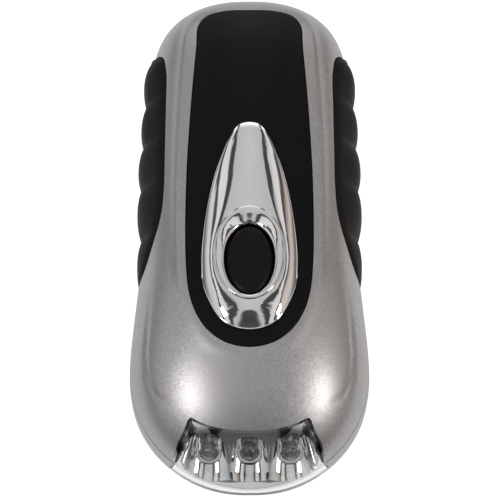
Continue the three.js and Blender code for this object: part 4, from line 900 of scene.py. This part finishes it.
# Push button: a plunger and a flange out of sight, and a rounded face set a little back
def button():
    def oval(width, length, back=0):
        return ellipse(width, length, BUTTON_Y + back, 72)

    width, length = HOLE_WIDTH - BUTTON_GAP, HOLE_LENGTH - BUTTON_GAP
    face_width, face_length, back = width - 1.3, length - 1.9, 0.6
    top = top_z(0, BUTTON_Y)
    loops = [at_height(oval(2.2, 2.2), z) for z in (BUTTON_BOTTOM, 38.6)]
    loops += [at_height(oval(width + BUTTON_FLANGE, length + BUTTON_FLANGE), z) for z in (38.7, 39.7)]
    loops.append(at_height(oval(width, length), 39.8))
    for k in range(13):
        turn = k / 12 * math.pi / 2
        draw = 1 - math.cos(turn)
        rim = oval(mix(width, face_width, draw), mix(length, face_length, draw), back * draw)
        loops.append(at_height(rim, top - 0.3 + 1.3 * math.sin(turn)))
    for k in range(1, 13):
        share = 1 - k / 12
        rise = 0.4 * (1 - share ** 2)
        loops.append(at_height(oval(face_width * share, face_length * share, back), top + 1 + rise))
    return lay_loops([[Vector((0, BUTTON_Y, BUTTON_BOTTOM))] * 72] + loops)


make("switch_button_skin", button(), "button", black_plastic, ["switch_button"])


# Grips: unequal lobes with nearly upright grooves, which fade out towards the upper edge
def grip(side):
    def sunk(points, depth):
        return [grip_surface(p.x, p.y, side, -depth) for p in points]

    def raised(points):
        gaps = -distances(points, grip_outline)
        loop = []
        for p, gap in zip(points, gaps):
            edge = math.sqrt(max(0, 1 - (1 - min(gap / EDGE_ROUND, 1)) ** 2))
            along = p.x - LOBE_SLANT * (p.y - WIDEST)
            first = max(i for i, valley in enumerate(VALLEYS) if valley <= along)
            share = (along - VALLEYS[first]) / (VALLEYS[first + 1] - VALLEYS[first])
            groove = 1 - (1 - abs(2 * share - 1) ** 2.2) ** 0.75
            peak = LOBE_RISE + LOBE_MORE * smooth((p.x - LOBE_START) / LOBE_RUN)
            fade = 1 - FADE_SHARE * smooth((p.y - FADE_START) / FADE_RUN)
            rise = mix(FLAT_RISE, peak, fade) + EDGE_SINK - GROOVE_DEPTH * groove * fade
            loop.append(grip_surface(p.x, p.y, side, -EDGE_SINK + edge * rise))
        return loop

    loops = [sunk(drawn(grip_outline, k / 8), GRIP_DEPTH) for k in range(9)]
    loops.append(sunk(grip_outline, 0.4))
    loops += [raised(drawn(grip_outline, 1 - 0.004 * k ** 1.5)) for k in range(12)]
    loops += [raised(drawn(grip_outline, 1 - mix(0.15, 1, k / 60))) for k in range(1, 61)]
    return lay_loops(loops)


for side, name in [(-1, "grip_left"), (1, "grip_right")]:
    make(name + "_skin", grip(side), "root", rubber, [name], sharp=60)


# Lens, reflector and lamps
inner_skin = body_form(-LENS_WALL, 160, 160)
lens_body = body_form(0, 256, 220)
lens_skin = Skin(lens_body, inner_skin)
lens = carve(lens_body, ("INTERSECT", lens_prism(0, LENS_REAR)), ("DIFFERENCE", inner_skin.copy()))
make("lens_skin", lens, "root", clear, ["lens"], lens_skin)


def cup(x):
    """The space inside one reflector cup, opening forwards and a little wider than high."""
    profile = [(0, -3), (CUP_HOLE, -3), (CUP_HOLE, CUP_FLOOR)]
    for k in range(21):
        share = k / 20
        radius = math.sqrt(CUP_FOOT ** 2 + share * (CUP_MOUTH ** 2 - CUP_FOOT ** 2))
        profile.append((radius, CUP_FLOOR + share * CUP_DEPTH))
    profile += [(CUP_MOUTH, 30), (0, 30)]
    widened = Matrix.Diagonal((CUP_WIDENING, 1, 1, 1))
    return move(turned(profile, 64), Matrix.Translation((x, REFLECTOR_BACK, LAMP_Z)) @ FORWARD @ widened)


def reflector():
    """Three cups, with an apron in front of them that reaches the lens."""
    before_cups = block((-OUTSIDE, -OUTSIDE, APRON_TOP), (OUTSIDE, REFLECTOR_FRONT, ABOVE))
    below = block((-OUTSIDE, -OUTSIDE, 0), (OUTSIDE, 0, APRON_BOTTOM))
    cups = [cup(x) for x in (-LAMP_PITCH, 0, LAMP_PITCH)]
    return carve(
        lens_prism(-REFLECTOR_SIDE_GAP, REFLECTOR_BACK), ("INTERSECT", body_form(-REFLECTOR_INSET, 128, 128)),
        *cut(before_cups, below, *cups),
    )


reflector_skin = Skin(body_form(-REFLECTOR_INSET, 128, 128))
make("reflector_skin", reflector(), "root", plated, ["reflector"], reflector_skin, sharp=25)


def lamp_part(bm, x):
    return move(bm, Matrix.Translation((x, LAMP_BACK, LAMP_Z)) @ FORWARD)


for name, x in [("lamp_left", -LAMP_PITCH), ("lamp_centre", 0), ("lamp_right", LAMP_PITCH)]:
    profile = [(0, 0), (2.75, 0), (2.9, 0.12), (2.9, 0.88), (2.8, 1), (LAMP_RADIUS, 1.02)]
    for k in range(13):
        turn = k * math.pi / 24
        profile.append((LAMP_RADIUS * math.cos(turn), DOME_START + LAMP_RADIUS * math.sin(turn)))
    make(name + "_dome", lamp_part(turned(profile), x), "root", resin, [name])
    seat = turned([(0, 5.4), (1, 5.4), (1.05, 6.6), (0.95, 6.6), (0.5, 6.1), (0, 6.1)], 32)
    make(name + "_seat", lamp_part(seat, x), "root", steel)
    chip = soften(block((-0.3, -0.3, 6.12), (0.3, 0.3, 6.3)), 0.04)
    make(name + "_chip", lamp_part(chip, x), "root", diode)
    for post, corners in LAMP_POSTS.items():
        make(f"{name}_{post}", lamp_part(soften(block(*corners), 0.08), x), "root", steel)


# Crank: arm, hub cap and folding knob
ACROSS = Matrix.Rotation(math.pi / 2, 4, "Y")


def at_hub(bm):
    return move(bm, Matrix.Translation((0, HUB_Y, 0)))


def arc(radius, y, start, sweep, steps):
    turns = [start + sweep * k / steps for k in range(steps + 1)]
    return [(radius * math.cos(turn), y + radius * math.sin(turn)) for turn in turns]


def arm():
    lean = math.asin((HUB_RADIUS - ARM_END_RADIUS) / ARM_REACH)
    far_end = arc(ARM_END_RADIUS, ARM_REACH, lean, math.pi - 2 * lean, 32)
    hub_end = arc(HUB_RADIUS, 0, math.pi - lean, math.pi + 2 * lean, 40)
    bar = soften(prism(far_end + hub_end, ARM_BOTTOM, ARM_TOP), 1.1, 4)
    slot = block((-SLOT_HALF, ARM_REACH - SLOT_BACK, -5), (SLOT_HALF, ARM_REACH + SLOT_AHEAD, 20))
    round_edges(slot, upright_edges(slot), 1.4)
    well = turned([(0, 0), (6.9, 0), (6.7, 1.6), (6.7, 4.7), (0, 4.7)])
    pin_hole = rod(0, 0, PIN_RADIUS, -PIN_REACH, PIN_REACH)
    move(pin_hole, Matrix.Translation((0, ARM_REACH, PIN_Z)) @ ACROSS)
    return at_hub(carve(bar, *cut(slot, well, rod(0, 0, 3.3, -5, 20), pin_hole)))


make("crank_arm_skin", arm(), "crank", black_plastic, ["crank_arm"])

cap = turned([(0, 1.1), (4.2, 1.05), (4.6, 0.9), (5.9, 0.9), (6.3, 1.02), (6.4, 1.2), (6.4, 1.7), (0, 1.7)])
make("hub_cap_skin", at_hub(cap), "crank", silver, ["hub_cap"])

KNOB = Matrix.Translation((0, HUB_Y + ARM_REACH, PIN_Z)) @ FORWARD


def knob():
    radius, length, bore, seat, seat_height = KNOB_RADIUS, KNOB_LENGTH, 1.8, 3, 13.8
    profile = [(bore, 0), (3.4, 0), (3.9, 0.18), (radius, 0.6)]
    for k in range(17):
        waist = KNOB_WAIST * math.sin(math.pi * k / 16) ** 1.5
        profile.append((radius - waist, 1.6 + (length - 3.2) * k / 16))
    profile += [(radius, length - 0.6), (3.9, length - 0.18), (3.5, length), (seat, length)]
    profile += [(seat, seat_height), (bore, seat_height), (bore, 0)]
    return move(turned([(out, KNOB_START + height) for out, height in profile]), KNOB)


make("crank_knob_skin", knob(), "knob", black_plastic, ["crank_knob"])
rivet = turned([(0, 19.2), (1.6, 19.17), (2.4, 18.95), (2.7, 18.6), (2.7, 18.3), (0, 18.3)], 40)
make("knob_rivet_skin", move(rivet, KNOB), "swivel", steel, ["knob_rivet"])


def swivel():
    barrel = move(soften(rod(0, 0, 3.9, -4.1, 4.1, 48), 0.4), ACROSS)
    spindle = turned([(0, 0), (1.5, 0), (1.5, 18), (0, 18)], 32)
    hole = move(rod(0, 0, PIN_RADIUS, -6, 6), ACROSS)
    return move(carve(barrel, ("UNION", spindle), ("DIFFERENCE", hole)), KNOB)


make("knob_swivel_skin", swivel(), "swivel", steel, ["knob_swivel"])


# Screws with a cross recess, seen from below
def screw(x, y):
    profile = [(0, 2.75), (1.4, 2.75), (1.95, 3), (2.2, 3.5), (2.2, 4.3), (1.2, 4.3), (1.2, 28.3), (0, 28.3)]
    head = turned(profile, 40)
    bars = [soften(block((-w, -h, 0), (w, h, 3.7)), 0.08) for w, h in [(1.25, 0.28), (0.28, 1.25)]]
    return move(carve(head, *cut(*bars)), Matrix.Translation((x, y, 0)))


for name, (x, y) in zip(("front_left", "front_right", "rear_left", "rear_right"), SCREWS):
    make(f"case_screw_{name}_turned", screw(x, y), "root", steel, [f"case_screw_{name}"])


# Camera, looking down at 65 degrees from in front
lens_camera = bpy.data.cameras.new("camera")
lens_camera.lens = 144.1
lens_camera.sensor_width = 36
camera = new_object("camera", lens_camera)
camera.location = (0.00012, -0.2204, 0.4893)
camera.rotation_euler = (math.radians(25), 0, 0)
bpy.context.scene.camera = camera


# Floor: it shows white to the camera, and pale to what is glossy or clear
FLOOR_SEEN, FLOOR_GLOSSY, FLOOR_THROUGH = 0.7, 0.36, 0.34


def floor():
    bm = bmesh.new()
    bmesh.ops.create_grid(bm, x_segments=1, y_segments=1, size=0.3)
    mesh = bpy.data.meshes.new("floor")
    bm.to_mesh(mesh)
    bm.free()
    material, tree, shader = blank("floor")
    white = (1, 1, 1, 1)
    give(shader, Base_Color=(0.8, 0.8, 0.8, 1), Roughness=0.9, Emission_Color=white)
    path = add(tree, "LightPath")
    seen = number(tree, "MULTIPLY", path.outputs["Is Camera Ray"], FLOOR_SEEN)
    glossy = number(tree, "MULTIPLY", path.outputs["Is Glossy Ray"], FLOOR_GLOSSY)
    through = number(tree, "MULTIPLY", path.outputs["Is Transmission Ray"], FLOOR_THROUGH)
    most = number(tree, "MAXIMUM", number(tree, "MAXIMUM", seen, glossy), through)
    tree.links.new(most, shader.inputs["Emission Strength"])
    mesh.materials.append(material)
    piece = new_object("floor", mesh)


floor()


# World: white to the camera, and a studio with dark gaps to what is glossy
def studio():
    world = bpy.data.worlds.new("studio")
    world.use_nodes = True
    bpy.context.scene.world = world
    tree = world.node_tree
    white = (1, 1, 1, 1)
    facing = add(tree, "TexCoord").outputs["Generated"]
    parts = add(tree, "SeparateXYZ")
    tree.links.new(facing, parts.inputs[0])

    def ramp(value, stops):
        node = add(tree, "ValToRGB")
        tree.links.new(value, node.inputs[0])
        elements = node.color_ramp.elements
        for element, (position, level) in zip(elements, (stops[0], stops[-1])):
            element.position, element.color = position, (*level, 1)
        for position, level in stops[1:-1]:
            elements.new(position).color = (*level, 1)
        return node.outputs["Color"]

    def grey(*stops):
        return [(position, (level, level, level)) for position, level in stops]

    def times(first, second):
        return blend(tree, 1, first, second, blend_type="MULTIPLY")

    def halved(axis):
        """A direction's share from one side, 0, to the other, 1."""
        return number(tree, "ADD", number(tree, "MULTIPLY", parts.outputs[axis], 0.5), 0.5)

    # Bands from left to right, with slightly ragged edges
    ragged = add(tree, "TexNoise")
    give(ragged, Scale=14, Detail=5)
    tree.links.new(facing, ragged.inputs["Vector"])
    drift = number(tree, "MULTIPLY", number(tree, "SUBTRACT", ragged.outputs["Fac"], 0.5), 0.08)
    across = number(tree, "ADD", halved("X"), drift)
    left = [(0, 0.7), (0.1, 0.85), (0.165, 0.9), (0.185, 0.1), (0.225, 0.1), (0.24, 1), (0.315, 0.95)]
    middle = [(0.33, 0.08), (0.372, 0.08), (0.387, 0.7), (0.5, 0.78), (0.613, 0.68), (0.628, 0.08)]
    right = [(0.668, 0.08), (0.685, 0.9), (0.755, 1), (0.77, 0.1), (0.8, 0.1)]
    brown = [(0.815, (0.42, 0.31, 0.26)), (0.88, (0.8, 0.72, 0.68)), (1, (0.8, 0.76, 0.74))]
    bands = ramp(across, grey(*left, *middle, *right) + brown)

    # How bright the studio is from front to rear, and from the floor up
    ahead = ramp(halved("Y"), grey((0.07, 1), (0.1, 0.2), (0.21, 0.15), (0.27, 1), (0.86, 1), (0.97, 2.8)))
    level = ramp(parts.outputs["Z"], grey((0, 0.25), (0.14, 0.34), (0.36, 1)))

    # A dark spot above the front, and a dark strip low in front
    spot = add(tree, "VectorMath", operation="DOT_PRODUCT")
    spot.inputs[1].default_value = (0, -0.42, 0.907)
    tree.links.new(facing, spot.inputs[0])
    dark_spot = ramp(spot.outputs["Value"], grey((0.982, 1), (0.99, 0.12)))
    strip = ramp(number(tree, "ABSOLUTE", parts.outputs["X"], 0), grey((0.16, 0.06), (0.24, 1)))
    low_strip = blend(tree, number(tree, "LESS_THAN", parts.outputs["Y"], -0.76), white, strip)
    shape = times(times(bands, ahead), times(dark_spot, low_strip))

    shiny = add(tree, "Background")
    tree.links.new(times(shape, level), shiny.inputs["Color"])
    lit = add(tree, "Background")
    give(lit, Color=(0.45, 0.45, 0.45, 1))
    plain = tree.nodes["Background"]
    give(plain, Color=white)
    path = add(tree, "LightPath")
    straight = number(tree, "LESS_THAN", path.outputs["Glossy Depth"], 0.5)
    through = number(tree, "MULTIPLY", path.outputs["Is Transmission Ray"], straight)
    seen = number(tree, "MAXIMUM", path.outputs["Is Camera Ray"], through)

    def choose(share, first, second):
        node = add(tree, "MixShader")
        for socket, value in zip(node.inputs, (share, first, second)):
            tree.links.new(value, socket)
        return node.outputs[0]

    soft = choose(path.outputs["Is Diffuse Ray"], shiny.outputs[0], lit.outputs[0])
    whole = choose(seen, soft, plain.outputs[0])
    tree.links.new(whole, tree.nodes["World Output"].inputs["Surface"])


studio()


def softbox(name, spot, power=2.6, size=0.2, aim=(0, -0.04, 0.03)):
    light = bpy.data.lights.new(name, "AREA")
    light.shape = "RECTANGLE"
    light.size, light.size_y, light.energy = size, size, power
    lamp = new_object(name, light)
    lamp.location = spot
    lamp.rotation_euler = (Vector(aim) - Vector(spot)).to_track_quat("-Z", "Y").to_euler()


softbox("left_softbox", (-0.53, -0.3, 0.86))
softbox("right_softbox", (0.7, -0.27, 0.73))

bpy.context.scene.view_settings.view_transform = "Standard"
